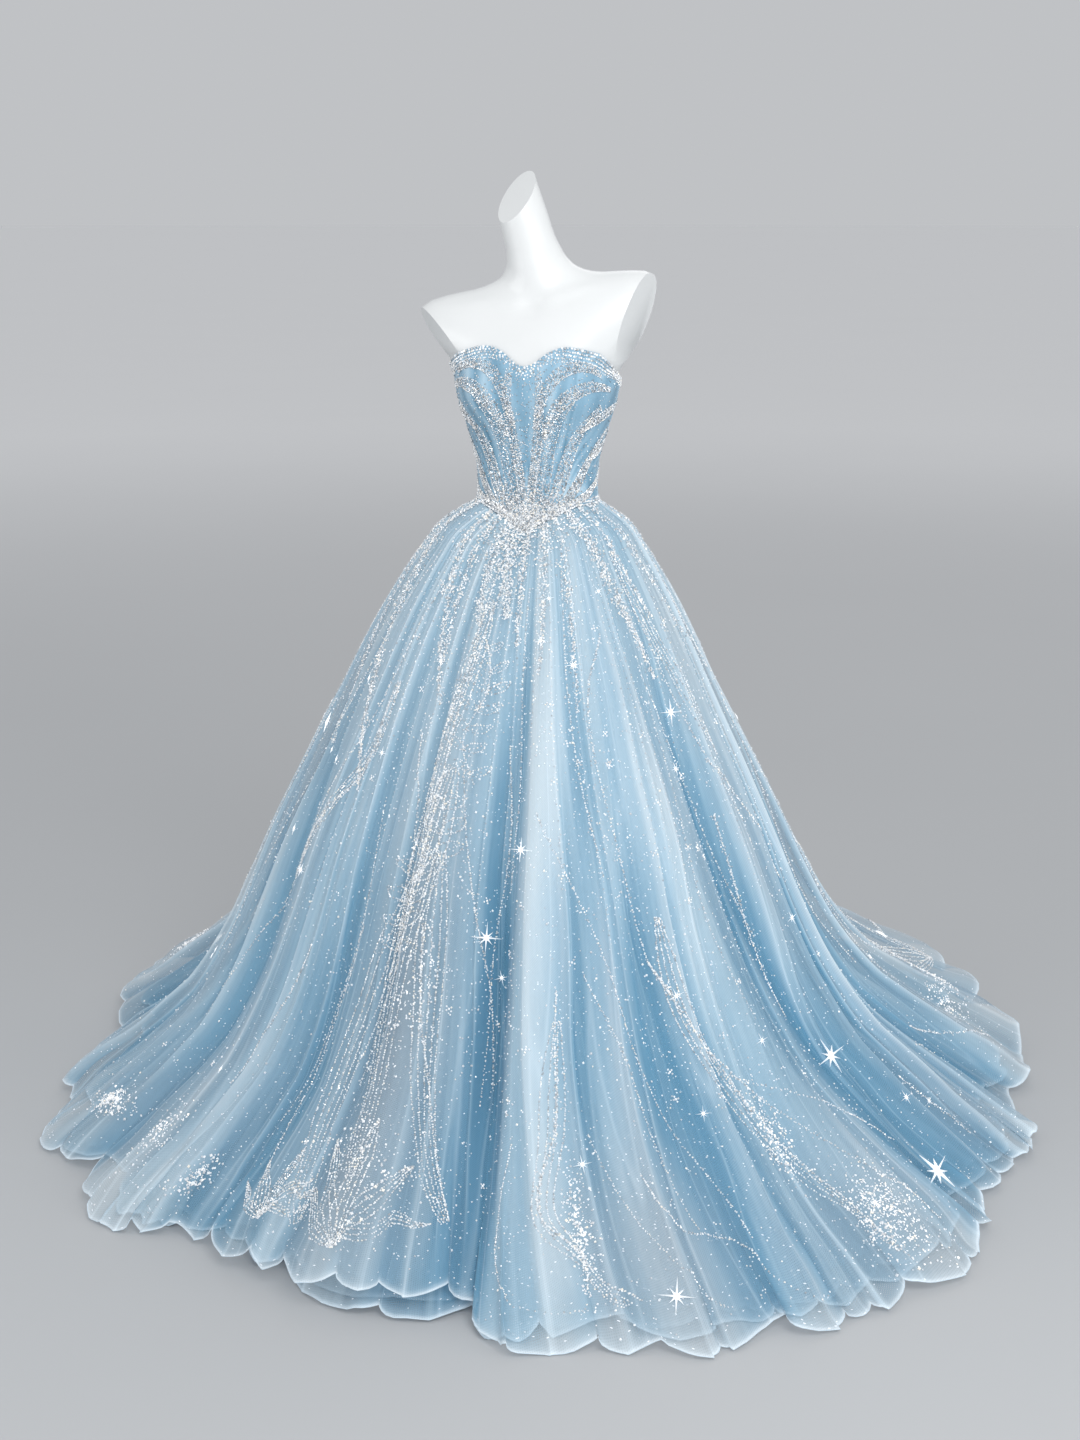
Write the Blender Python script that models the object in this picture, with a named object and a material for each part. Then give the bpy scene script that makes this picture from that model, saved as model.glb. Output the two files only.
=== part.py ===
"""Strapless tulle ball gown standing on a white limbless dress form.

Units are metres, +Z is up and the gown faces -Y. The origin is on the floor, under the middle of
the stand. Directions round the gown are angles from the front (-Y) towards +X, in degrees in the
tables and in radians in the functions. Every cloth piece is a thin closed wall.
"""

import math

import bmesh
import bpy
import numpy as np

# ---------------------------------------------------------------- driving sizes
SEAM_GAP = 0.0003            # space left between two pieces that are sewn or rest together
SMALL_STEP = 0.002           # radians or metres, for the slope of a surface
SETTLE_ROUNDS = 8            # rounds that find the point of the form at a direction and height

# The form's surface, bottom to top: a ring at each height of the front, with its own height at the
# sides and at the back, its half width, its depth to the front and back, and how square it is.
FORM_ROWS = (
    # front_z side_z back_z half_width front back squareness
    (0.800, 0.800, 0.800, 0.1180, 0.0830, 0.0900, 2.0),
    (0.820, 0.820, 0.820, 0.1460, 0.1050, 0.1120, 2.0),
    (0.870, 0.870, 0.870, 0.1580, 0.1160, 0.1250, 2.0),
    (0.940, 0.940, 0.940, 0.1560, 0.1120, 0.1240, 2.0),
    (1.010, 1.010, 1.010, 0.1380, 0.0990, 0.1120, 2.0),
    (1.060, 1.060, 1.060, 0.1180, 0.0870, 0.0970, 2.0),
    (1.100, 1.100, 1.100, 0.1020, 0.0780, 0.0850, 2.0),
    (1.140, 1.140, 1.140, 0.0955, 0.0735, 0.0770, 2.0),
    (1.178, 1.178, 1.178, 0.0950, 0.0735, 0.0740, 2.0),
    (1.214, 1.214, 1.214, 0.1025, 0.0785, 0.0775, 2.0),
    (1.244, 1.244, 1.244, 0.1125, 0.0850, 0.0830, 2.0),
    (1.275, 1.275, 1.275, 0.1230, 0.0910, 0.0890, 2.0),
    (1.302, 1.302, 1.302, 0.1310, 0.0960, 0.0940, 2.05),
    (1.328, 1.328, 1.330, 0.1360, 0.0980, 0.0980, 2.1),
    (1.353, 1.350, 1.358, 0.1400, 0.0960, 0.1020, 2.15),
    (1.375, 1.372, 1.385, 0.1580, 0.0910, 0.1030, 2.2),
    (1.395, 1.403, 1.412, 0.1860, 0.0840, 0.1000, 2.25),
    (1.412, 1.436, 1.438, 0.2070, 0.0770, 0.0930, 2.3),
    (1.427, 1.468, 1.461, 0.2080, 0.0700, 0.0840, 2.25),
    (1.440, 1.488, 1.477, 0.1830, 0.0630, 0.0740, 2.2),
    (1.451, 1.494, 1.490, 0.1420, 0.0570, 0.0660, 2.1),
    (1.462, 1.497, 1.501, 0.1050, 0.0520, 0.0600, 2.0),
    (1.473, 1.504, 1.512, 0.0780, 0.0490, 0.0550, 2.0),
    (1.484, 1.513, 1.522, 0.0620, 0.0465, 0.0510, 2.0),
    (1.497, 1.526, 1.534, 0.0520, 0.0450, 0.0475, 2.0),
    (1.522, 1.547, 1.553, 0.0450, 0.0435, 0.0440, 2.0),
    (1.560, 1.575, 1.580, 0.0405, 0.0410, 0.0410, 2.0),
    (1.605, 1.615, 1.620, 0.0365, 0.0380, 0.0380, 2.0),
    (1.650, 1.655, 1.660, 0.0335, 0.0350, 0.0350, 2.0),
    (1.710, 1.712, 1.715, 0.0320, 0.0330, 0.0330, 2.0),
)
FORM_COLUMNS = 36
BUST_DIRECTION = 36.0        # degrees either side of the front
BUST_Z = 1.306
BUST_RISE = 0.019
BUST_SPREAD = 0.42           # radians
BUST_HEIGHT = 0.046
BUST_SIDEWAYS = 0.6          # the share of the rise that goes out to the sides
SHOULDER_SLOPE = 0.14        # the left shoulder is held higher than the right
SLOPE_FROM_Z = 1.345
SLOPE_TO_Z = 1.440
NECK_LEAN = (-0.235, -0.060)  # sideways and forwards, for each metre above the collarbones
NECK_LEAN_FROM_Z = 1.480
NECK_OFFSET = 0.003
NECK_CUT_AT = (-0.021, -0.008, 1.645)
NECK_CUT_FACING = (-0.62, -0.46, 0.60)
NECK_CUT_FROM_Z = 1.550
STUMP_CUT_LEFT = (0.175, 0.0, 1.428)
STUMP_CUT_RIGHT = (-0.184, 0.0, 1.428)
STUMP_CUT_FACING = (0.88, -0.25, -0.38)
STUMP_FROM_Z = 1.340
FORM_EDGE_ANGLE = 40.0       # edges of the form sharper than this show as edges

BASE_RADIUS = 0.190
BASE_HEIGHT = 0.008
BASE_BEVEL = 0.003
POLE_RADIUS = 0.016
COLLAR_RADIUS = 0.036
COLLAR_HEIGHT = 0.022
COLLAR_FOOT_SHARE = 0.72     # the collar's foot is narrower than its top
COLLAR_TAPER_SHARE = 0.45    # the part of its height that tapers
ROUND_SIDES = 32
STAND_EDGE_ANGLE = 35.0

WAIST_Z = 1.128              # waist seam at the sides and back
WAIST_POINT = 0.042          # how far the seam dips at the front
WAIST_POINT_DEG = 62.0       # half width of the dip
WAIST_POINT_POWER = 1.35     # how sharply it comes to its point

BODICE_WALL = 0.0020
BODICE_EASE_BUST = 0.0024    # space between the form and the bodice, at the bust and at the waist
BODICE_EASE_WAIST = 0.0066
EASE_FROM_Z = 1.165
EASE_TO_Z = 1.250
BODICE_ROWS = 12
NECKLINE = (
    # direction height
    (0.0, 1.360),
    (9.0, 1.365),
    (22.0, 1.381),
    (40.0, 1.392),
    (58.0, 1.382),
    (76.0, 1.356),
    (95.0, 1.334),
    (135.0, 1.317),
    (180.0, 1.312),
)
BODICE_PANELS = (
    # name first_direction last_direction columns
    ("bodice_front_centre", -34.0, 34.0, 12),
    ("bodice_side_front_left", 34.0, 96.0, 9),
    ("bodice_back_left", 96.0, 180.0, 9),
    ("bodice_back_right", 180.0, 264.0, 9),
    ("bodice_side_front_right", 264.0, 326.0, 9),
)

# The skirt swells over the hips, runs down straight and flares out on the floor. Its reach out
# from the waist seam, at h from 0 at the seam to 1 at the hem, is a share of the reach at the hem.
SKIRT_PROFILE = (
    # h reach
    (0.00, 0.0),
    (0.03, 0.066),
    (0.07, 0.110),
    (0.12, 0.156),
    (0.20, 0.220),
    (0.30, 0.290),
    (0.40, 0.360),
    (0.50, 0.427),
    (0.60, 0.488),
    (0.70, 0.557),
    (0.80, 0.655),
    (0.90, 0.800),
    (1.00, 1.0),
)
SKIRT_SWAY = (-0.024, -0.006)  # the skirt hangs a little to the wearer's right at mid height
SWAY_POWER = 0.7
HEM_OUTLINE = (
    # direction radius lift layer_reach (how much further the tulle layer comes out there)
    (0.0, 0.790, 0.036, 0.038),
    (12.0, 0.808, 0.004, 0.0),
    (30.0, 0.862, 0.003, 0.0),
    (46.0, 0.890, 0.004, 0.0),
    (62.0, 0.850, 0.003, 0.0),
    (76.0, 0.872, 0.004, 0.0),
    (92.0, 0.862, 0.003, 0.0),
    (112.0, 0.915, 0.010, 0.0),
    (134.0, 1.045, 0.028, 0.0),
    (156.0, 1.080, 0.032, 0.0),
    (180.0, 1.080, 0.022, 0.0),
    (204.0, 1.070, 0.032, 0.0),
    (228.0, 1.045, 0.028, 0.0),
    (250.0, 1.000, 0.012, 0.0),
    (270.0, 0.875, 0.003, 0.0),
    (290.0, 0.856, 0.003, 0.0),
    (308.0, 0.820, 0.004, 0.0),
    (326.0, 0.772, 0.006, 0.0),
    (340.0, 0.762, 0.030, 0.0),
    (350.0, 0.785, 0.055, 0.030),
)

# Large folds: a ridge where the depth is positive and a valley where it is negative.
FOLDS = (
    # hem_direction top_direction half_width depth starts_at_h
    (2.5, 14.0, 3.8, -0.058, 0.12),
    (9.5, 22.0, 4.2, 0.056, 0.14),
    (27.0, 30.0, 3.8, 0.024, 0.40),
    (36.0, 36.0, 3.4, -0.022, 0.45),
    (61.0, 41.0, 6.0, 0.040, 0.16),
    (78.0, 53.0, 5.0, -0.046, 0.20),
    (93.0, 80.0, 5.0, 0.022, 0.35),
    (104.0, 98.0, 4.0, -0.026, 0.40),
    (117.0, 112.0, 6.0, 0.030, 0.30),
    (131.0, 128.0, 4.6, -0.036, 0.35),
    (148.0, 146.0, 6.0, 0.034, 0.25),
    (163.0, 162.0, 4.4, -0.040, 0.30),
    (178.0, 179.0, 6.4, 0.040, 0.20),
    (194.0, 196.0, 4.6, -0.036, 0.30),
    (211.0, 212.0, 6.0, 0.036, 0.30),
    (227.0, 229.0, 4.6, -0.038, 0.30),
    (243.0, 246.0, 5.6, 0.034, 0.30),
    (259.0, 263.0, 4.2, -0.034, 0.40),
    (274.0, 280.0, 5.4, 0.026, 0.30),
    (291.0, 296.0, 5.0, 0.026, 0.40),
    (302.5, 306.0, 4.0, -0.036, 0.35),
    (314.0, 318.0, 4.5, 0.028, 0.35),
    (325.5, 329.0, 3.8, -0.032, 0.30),
    (336.0, 340.0, 4.5, 0.012, 0.25),
    (350.0, 352.0, 5.0, 0.022, 0.20),
)
FOLD_GROWTH = 0.7            # power of the folds' growth from where they start to the hem

# The gathers spread unevenly round the waist: each term shifts them by a sine of its own.
SPREAD_TERMS = (
    # times_round shift phase
    (5, 0.034, 0.7),
    (8, 0.019, 2.1),
    (13, 0.009, 0.4),
)
GATHER_SHARPNESS = 1.4
UNEVEN_MEAN = 0.66           # the gathers' depth, as a share: its mean and how far it swings
UNEVEN_SWING = 0.34
UNEVEN_LONG = (3, 0.4)       # times_round phase
UNEVEN_SHORT = (7, 1.1)
UNEVEN_FROM_H = 0.3          # they are even at the waist seam
COLUMNS_PER_GATHER = 4

OVERSKIRT = {
    "wall": 0.0015,
    "gathers": 48,
    "rows": (0.0, 0.016, 0.050, 0.12, 0.26, 0.44, 0.62, 0.78, 0.90, 1.0),
    "ripple": (0.0026, 0.0090, 0.0030),   # at the waist, more by mid skirt, more again at the hem
    "inset": (0.0, 0.0, 0.0),             # the same, in from the overskirt's own line
    "hem_rise": 0.012,
    "follows_lift": 1.0,
    "comes_further": 0.0,
    "top_drop": 0.0003,
}
TULLE_LAYER = {
    "wall": 0.0015,
    "gathers": 20,
    "rows": (0.0, 0.035, 0.13, 0.34, 0.62, 0.85, 1.0),
    "ripple": (0.0, 0.0060, 0.0040),
    "inset": (0.0047, 0.0340, 0.0120),
    "hem_rise": 0.006,
    "follows_lift": 0.0,
    "comes_further": 1.0,
    "top_drop": 0.0014,
}
UNDERSKIRT = {
    "wall": 0.0020,
    "gathers": 12,
    "rows": (0.0, 0.045, 0.17, 0.45, 0.78, 1.0),
    "ripple": (0.0, 0.0050, 0.0060),
    "inset": (0.0064, 0.0566, 0.0620),
    "hem_rise": 0.003,
    "follows_lift": 0.0,
    "comes_further": 0.0,
    "top_drop": 0.0017,
}
GATHERS_PROUD = 0.0025       # the skirt stands out this far from the bodice at the waist seam
HEM_FLOOR_GAP = 0.0004
RIPPLE_MIDDLE_POWER = 0.75
RIPPLE_HEM_POWER = 3.0
INSET_MIDDLE_RATE = 5.0      # how soon an inner layer falls away from the one over it

OVERSKIRT_GORES = (
    "overskirt_front",
    "overskirt_front_left",
    "overskirt_back_left",
    "overskirt_back",
    "overskirt_back_right",
    "overskirt_front_right",
)
LAYER_PANELS = ("front", "left", "back", "right")

# finish: colour, roughness, metallic
WHITE_GLOSS = ((0.90, 0.92, 0.92), 0.28, 0.0)
STAND_STEEL = ((0.62, 0.63, 0.65), 0.32, 0.9)
BODICE_BLUE = ((0.33, 0.55, 0.78), 0.45, 0.0)
TULLE_BLUE = ((0.42, 0.62, 0.82), 0.60, 0.0)
LAYER_BLUE = ((0.30, 0.52, 0.74), 0.60, 0.0)
SATIN_BLUE = ((0.22, 0.45, 0.68), 0.40, 0.0)


# ---------------------------------------------------------------- small helpers
def clear_scene():
    for thing in list(bpy.data.objects):
        bpy.data.objects.remove(thing, do_unlink=True)


def finish_material(name, finish):
    colour, roughness, metallic = finish
    material = bpy.data.materials.new(name)
    material.use_nodes = True
    shader = material.node_tree.nodes["Principled BSDF"]
    shader.inputs["Base Color"].default_value = (*colour, 1.0)
    shader.inputs["Roughness"].default_value = roughness
    shader.inputs["Metallic"].default_value = metallic
    return material


def add_object(name, mesh, finish):
    mesh.materials.append(finish_material(name + "_finish", finish))
    piece = bpy.data.objects.new(name, mesh)
    bpy.context.scene.collection.objects.link(piece)
    return piece


def smooth_step(low, high, value):
    part = np.clip((value - low) / (high - low), 0.0, 1.0)
    return part * part * (3.0 - 2.0 * part)


def curve_through(keys, values, at, period=None):
    """Values at any place, on a smooth curve through a table's rows."""
    keys = np.asarray(keys, float)
    values = np.asarray(values, float)
    at = np.asarray(at, float)
    if period is not None:
        keys = np.concatenate([keys[-2:] - period, keys, keys[:2] + period])
        values = np.concatenate([values[-2:], values, values[:2]])
        at = np.mod(at, period)
    slopes = np.gradient(values, keys)
    right = np.clip(np.searchsorted(keys, at, side="right"), 1, len(keys) - 1)
    left = right - 1
    span = keys[right] - keys[left]
    u = np.clip((at - keys[left]) / span, 0.0, 1.0)
    start = (1.0 + 2.0 * u) * (1.0 - u) ** 2 * values[left]
    start = start + u * (1.0 - u) ** 2 * span * slopes[left]
    end = u * u * (3.0 - 2.0 * u) * values[right]
    return start + end + u * u * (u - 1.0) * span * slopes[right]


def column(table, index):
    return [row[index] for row in table]


def grid_directions(points, wraps):
    """Unit vectors along the columns' order and out of the surface, at each point of a grid."""
    if wraps:
        around = np.roll(points, -1, axis=1) - np.roll(points, 1, axis=1)
    else:
        around = np.gradient(points, axis=1)
    down = np.gradient(points, axis=0)
    outward = np.cross(down, around)
    around = around / np.linalg.norm(around, axis=2, keepdims=True)
    outward = outward / np.linalg.norm(outward, axis=2, keepdims=True)
    return around, outward


def wall_mesh(name, outside, inside):
    """A closed thin wall between two grids of points, rows from the top and columns round."""
    rows, columns, _ = outside.shape
    count = rows * columns
    faces = []

    def face(*corners):
        faces.append(tuple(int(corner) for corner in corners))

    number = np.arange(count).reshape(rows, columns)
    for i in range(rows - 1):
        for j in range(columns - 1):
            a = number[i, j]
            b = number[i + 1, j]
            c = number[i + 1, j + 1]
            d = number[i, j + 1]
            face(a, b, c, d)
            face(a + count, d + count, c + count, b + count)
    for j in range(columns - 1):
        face(number[0, j], number[0, j + 1], number[0, j + 1] + count, number[0, j] + count)
        face(number[-1, j + 1], number[-1, j], number[-1, j] + count, number[-1, j + 1] + count)
    for i in range(rows - 1):
        face(number[i + 1, 0], number[i, 0], number[i, 0] + count, number[i + 1, 0] + count)
        face(number[i, -1], number[i + 1, -1], number[i + 1, -1] + count, number[i, -1] + count)
    corners = np.concatenate([outside.reshape(-1, 3), inside.reshape(-1, 3)])
    mesh = bpy.data.meshes.new(name)
    mesh.from_pydata(corners.tolist(), [], faces)
    return mesh


def split_triangles(mesh):
    shape = bmesh.new()
    shape.from_mesh(mesh)
    bmesh.ops.triangulate(shape, faces=shape.faces[:])
    shape.to_mesh(mesh)
    shape.free()


# ---------------------------------------------------------------- dress form
def form_surface(phi, front_z):
    """The form's surface at an angle round the ring whose front is at a given height."""
    front_z = np.broadcast_to(front_z, phi.shape)
    keys = column(FORM_ROWS, 0)
    side_z, back_z, half_width, front, back, squareness = (
        curve_through(keys, column(FORM_ROWS, i), front_z) for i in range(1, 7)
    )
    across = np.sin(phi)
    ahead = np.cos(phi)
    power = 2.0 / squareness
    x = half_width * np.sign(across) * np.abs(across) ** power
    depth = np.where(ahead > 0, front, back)
    y = -depth * np.sign(ahead) * np.abs(ahead) ** power
    middle_z = np.where(ahead > 0, front_z, back_z)
    z = side_z * across**2 + middle_z * ahead**2
    bust = np.zeros_like(phi)
    for side in (-1.0, 1.0):
        turn = phi - side * math.radians(BUST_DIRECTION)
        turn = np.arctan2(np.sin(turn), np.cos(turn))
        bust += np.exp(-((turn / BUST_SPREAD) ** 2) - ((front_z - BUST_Z) / BUST_HEIGHT) ** 2)
    x = x + BUST_RISE * bust * across * BUST_SIDEWAYS
    y = y - BUST_RISE * bust * ahead
    z = z + SHOULDER_SLOPE * smooth_step(SLOPE_FROM_Z, SLOPE_TO_Z, front_z) * x
    above = np.maximum(front_z - NECK_LEAN_FROM_Z, 0.0)
    settled = smooth_step(SLOPE_TO_Z, NECK_LEAN_FROM_Z, front_z)
    x = x + NECK_OFFSET * settled + NECK_LEAN[0] * above
    y = y + NECK_LEAN[1] * above
    return np.stack([x, y, z], axis=-1)


def trim_with_plane(shape, at, facing, from_z):
    """Cuts off what lies beyond a plane and above a height, and closes it with one flat face."""
    def above(face):
        return min(corner.co.z for corner in face.verts) > from_z

    faces = [face for face in shape.faces if above(face)]
    edges = {edge for face in faces for edge in face.edges}
    corners = {corner for face in faces for corner in face.verts}
    cut = bmesh.ops.bisect_plane(
        shape,
        geom=faces + list(edges) + list(corners),
        plane_co=at,
        plane_no=facing,
        clear_outer=True,
    )
    rim = [edge for edge in cut["geom_cut"] if isinstance(edge, bmesh.types.BMEdge)]
    bmesh.ops.contextual_create(shape, geom=rim)


def build_form_torso():
    phi = np.linspace(-math.pi, math.pi, FORM_COLUMNS, endpoint=False)
    shape = bmesh.new()
    rings = []
    for front_z in column(FORM_ROWS, 0):
        ring = form_surface(phi, front_z)
        rings.append([shape.verts.new(point) for point in ring])
    for lower, upper in zip(rings[:-1], rings[1:]):
        for j in range(FORM_COLUMNS):
            k = (j + 1) % FORM_COLUMNS
            shape.faces.new((lower[j], lower[k], upper[k], upper[j]))
    shape.faces.new(reversed(rings[0]))
    shape.faces.new(rings[-1])
    trim_with_plane(shape, NECK_CUT_AT, NECK_CUT_FACING, NECK_CUT_FROM_Z)
    for x, y, z in (STUMP_CUT_LEFT, STUMP_CUT_RIGHT):
        facing_x, facing_y, facing_z = STUMP_CUT_FACING
        across = math.copysign(facing_x, x)
        facing = (across - SHOULDER_SLOPE * facing_z, facing_y, facing_z + SHOULDER_SLOPE * across)
        trim_with_plane(shape, (x, y, z + SHOULDER_SLOPE * x), facing, STUMP_FROM_Z)
    bmesh.ops.triangulate(shape, faces=shape.faces[:])
    bmesh.ops.recalc_face_normals(shape, faces=shape.faces[:])
    mesh = bpy.data.meshes.new("form_torso")
    shape.to_mesh(mesh)
    shape.free()
    mesh.shade_smooth()
    mesh.set_sharp_from_angle(angle=math.radians(FORM_EDGE_ANGLE))
    return add_object("form_torso", mesh, WHITE_GLOSS)


# ---------------------------------------------------------------- stand
def turned_piece(name, profile, finish, hollow=False):
    """A closed round piece from the corners (radius, height) of its section, in order."""
    shape = bmesh.new()
    rings = []
    for radius, height in profile:
        ring = []
        for j in range(ROUND_SIDES):
            turn = 2 * math.pi * j / ROUND_SIDES
            ring.append(shape.verts.new((radius * math.cos(turn), radius * math.sin(turn), height)))
        rings.append(ring)
    pairs = list(zip(rings[:-1], rings[1:]))
    if hollow:
        pairs.append((rings[-1], rings[0]))
    for one, other in pairs:
        for j in range(ROUND_SIDES):
            k = (j + 1) % ROUND_SIDES
            shape.faces.new((one[j], one[k], other[k], other[j]))
    if not hollow:
        shape.faces.new(rings[0])
        shape.faces.new(rings[-1])
    bmesh.ops.recalc_face_normals(shape, faces=shape.faces[:])
    mesh = bpy.data.meshes.new(name)
    shape.to_mesh(mesh)
    shape.free()
    mesh.shade_smooth()
    mesh.set_sharp_from_angle(angle=math.radians(STAND_EDGE_ANGLE))
    return add_object(name, mesh, finish)


def build_stand():
    turned_piece(
        "stand_base",
        (
            (BASE_RADIUS, 0.0),
            (BASE_RADIUS, BASE_HEIGHT - BASE_BEVEL),
            (BASE_RADIUS - BASE_BEVEL, BASE_HEIGHT),
        ),
        STAND_STEEL,
    )
    pole_bottom = BASE_HEIGHT + SEAM_GAP
    pole_top = FORM_ROWS[0][0] - SEAM_GAP
    turned_piece(
        "stand_pole",
        ((POLE_RADIUS, pole_bottom), (POLE_RADIUS, pole_top)),
        STAND_STEEL,
    )
    bore = POLE_RADIUS + SEAM_GAP
    bottom = pole_top - COLLAR_HEIGHT
    turned_piece(
        "stand_collar",
        (
            (bore, bottom),
            (COLLAR_RADIUS * COLLAR_FOOT_SHARE, bottom),
            (COLLAR_RADIUS, bottom + COLLAR_HEIGHT * COLLAR_TAPER_SHARE),
            (COLLAR_RADIUS, pole_top),
            (bore, pole_top),
        ),
        STAND_STEEL,
        hollow=True,
    )


# ---------------------------------------------------------------- bodice
def waist_seam_z(direction):
    """Height of the waist seam at a direction from the front."""
    turn = np.abs(np.arctan2(np.sin(direction), np.cos(direction)))
    near = np.clip(1.0 - turn / math.radians(WAIST_POINT_DEG), 0.0, 1.0)
    return WAIST_Z - WAIST_POINT * near**WAIST_POINT_POWER


def bodice_ease(front_z):
    spread = smooth_step(EASE_FROM_Z, EASE_TO_Z, front_z)
    return BODICE_EASE_WAIST + (BODICE_EASE_BUST - BODICE_EASE_WAIST) * spread


def off_the_form(phi, front_z, distance):
    """A point at a distance out from the form's surface."""
    around = form_surface(phi + SMALL_STEP, front_z) - form_surface(phi - SMALL_STEP, front_z)
    up = form_surface(phi, front_z + SMALL_STEP) - form_surface(phi, front_z - SMALL_STEP)
    outward = np.cross(around, up)
    outward = outward / np.linalg.norm(outward, axis=-1, keepdims=True)
    return form_surface(phi, front_z) + outward * np.asarray(distance)[..., None]


def height_on_form(phi, wanted):
    """The form ring whose surface passes through a wanted height at each angle."""
    front_z = np.array(wanted(phi), float)
    for _ in range(SETTLE_ROUNDS):
        point = form_surface(phi, front_z)
        direction = np.arctan2(point[..., 0], -point[..., 1])
        front_z = front_z + wanted(direction) - point[..., 2]
    return front_z


def neckline_z(direction):
    turn = np.degrees(np.abs(np.arctan2(np.sin(direction), np.cos(direction))))
    return curve_through(column(NECKLINE, 0), column(NECKLINE, 1), turn)


def build_bodice():
    for name, first, last, columns in BODICE_PANELS:
        phi = np.radians(np.linspace(first, last, columns + 1))
        top = height_on_form(phi, neckline_z)
        bottom = height_on_form(phi, waist_seam_z)
        share = np.linspace(0.0, 1.0, BODICE_ROWS + 1)[:, None]
        front_z = top + (bottom - top) * share
        turns = np.broadcast_to(phi, front_z.shape)
        ease = bodice_ease(front_z)
        inside = off_the_form(turns, front_z, ease)
        outside = off_the_form(turns, front_z, ease + BODICE_WALL)
        around, _ = grid_directions(outside, wraps=False)
        for wall in (inside, outside):
            wall[:, 0] += around[:, 0] * SEAM_GAP / 2
            wall[:, -1] -= around[:, -1] * SEAM_GAP / 2
            wall[-1, :, 2] = waist_seam_z(np.arctan2(wall[-1, :, 0], -wall[-1, :, 1]))
        mesh = wall_mesh(name, outside, inside)
        split_triangles(mesh)
        add_object(name, mesh, BODICE_BLUE)


# ---------------------------------------------------------------- skirts
def spread_gathers(turn):
    """Direction of a gather: evenly spaced turns, shifted so that some crowd and some part."""
    direction = np.array(turn, float)
    for times, shift, phase in SPREAD_TERMS:
        direction += shift * (np.sin(times * turn + phase) - math.sin(phase))
    return direction


def waist_reach(direction):
    """Distance of the bodice's outer face from the middle, at the waist seam."""
    phi = np.array(direction, float)
    for _ in range(SETTLE_ROUNDS):
        point = form_surface(phi, waist_seam_z(direction))
        found = np.arctan2(point[..., 0], -point[..., 1])
        off = direction - found
        phi = phi + np.arctan2(np.sin(off), np.cos(off))
    out = off_the_form(phi, waist_seam_z(direction), BODICE_EASE_WAIST + BODICE_WALL)
    return np.hypot(out[..., 0], out[..., 1])


def fold_depth(direction, h):
    """How far the large folds push the cloth out or draw it in."""
    depth = np.zeros(np.broadcast(direction, h).shape)
    for hem, top, half_width, fold, start in FOLDS:
        centre = np.radians(top + (hem - top) * h)
        turn = np.arctan2(np.sin(direction - centre), np.cos(direction - centre))
        grown = np.clip((h - start) / (1.0 - start), 0.0, 1.0) ** FOLD_GROWTH
        depth = depth + fold * grown * np.exp(-((turn / math.radians(half_width)) ** 2))
    return depth


def gather_wave(phase):
    """Rounded ridges with narrower valleys, from -1 to 1."""
    return 1.0 - 2.0 * np.abs(np.sin(phase / 2.0)) ** GATHER_SHARPNESS


def staged(amounts, h):
    """An amount at the waist, growing to mid skirt, and again to the hem."""
    waist, middle, hem = amounts
    return waist + middle * h**RIPPLE_MIDDLE_POWER + hem * h**RIPPLE_HEM_POWER


def inset_of(layer, h):
    waist, middle, hem = layer["inset"]
    return waist + middle * (1.0 - np.exp(-INSET_MIDDLE_RATE * h)) + hem * h**RIPPLE_HEM_POWER


def skirt_points(layer):
    """A layer's outer face: a row of points round the gown for each of its heights."""
    columns = layer["gathers"] * COLUMNS_PER_GATHER
    turn = 2.0 * math.pi * (np.arange(columns) - COLUMNS_PER_GATHER / 2) / columns
    direction = spread_gathers(turn)[None, :]
    phase = (layer["gathers"] * turn)[None, :]
    h = np.array(layer["rows"])[:, None]
    degrees = np.degrees(direction)
    hem_radius = curve_through(column(HEM_OUTLINE, 0), column(HEM_OUTLINE, 1), degrees, 360.0)
    lift = curve_through(column(HEM_OUTLINE, 0), column(HEM_OUTLINE, 2), degrees, 360.0)
    further = curve_through(column(HEM_OUTLINE, 0), column(HEM_OUTLINE, 3), degrees, 360.0)
    hem_radius = hem_radius + further * layer["comes_further"]
    waist = waist_reach(direction) + GATHERS_PROUD
    wave = gather_wave(phase)
    swing = np.sin(UNEVEN_LONG[0] * turn + UNEVEN_LONG[1])
    swing = swing * np.sin(UNEVEN_SHORT[0] * turn + UNEVEN_SHORT[1])
    settled = smooth_step(0.0, UNEVEN_FROM_H, h)
    uneven = 1.0 + settled * (UNEVEN_MEAN - 1.0 + UNEVEN_SWING * swing)
    reach = curve_through(column(SKIRT_PROFILE, 0), column(SKIRT_PROFILE, 1), h)
    radius = waist + (hem_radius - waist) * reach + fold_depth(direction, h)
    radius = radius + staged(layer["ripple"], h) * uneven * wave - inset_of(layer, h)
    top = waist_seam_z(direction) - layer["top_drop"]
    rise = layer["hem_rise"] * (0.5 - 0.5 * wave) * uneven
    bottom = HEM_FLOOR_GAP + np.maximum(lift, 0.0) * layer["follows_lift"] + rise
    z = top + (bottom - top) * h
    sway = np.sin(math.pi * h) ** SWAY_POWER
    x = radius * np.sin(direction) + SKIRT_SWAY[0] * sway
    y = -radius * np.cos(direction) + SKIRT_SWAY[1] * sway
    return np.stack([x, y, z], axis=-1)


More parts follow.
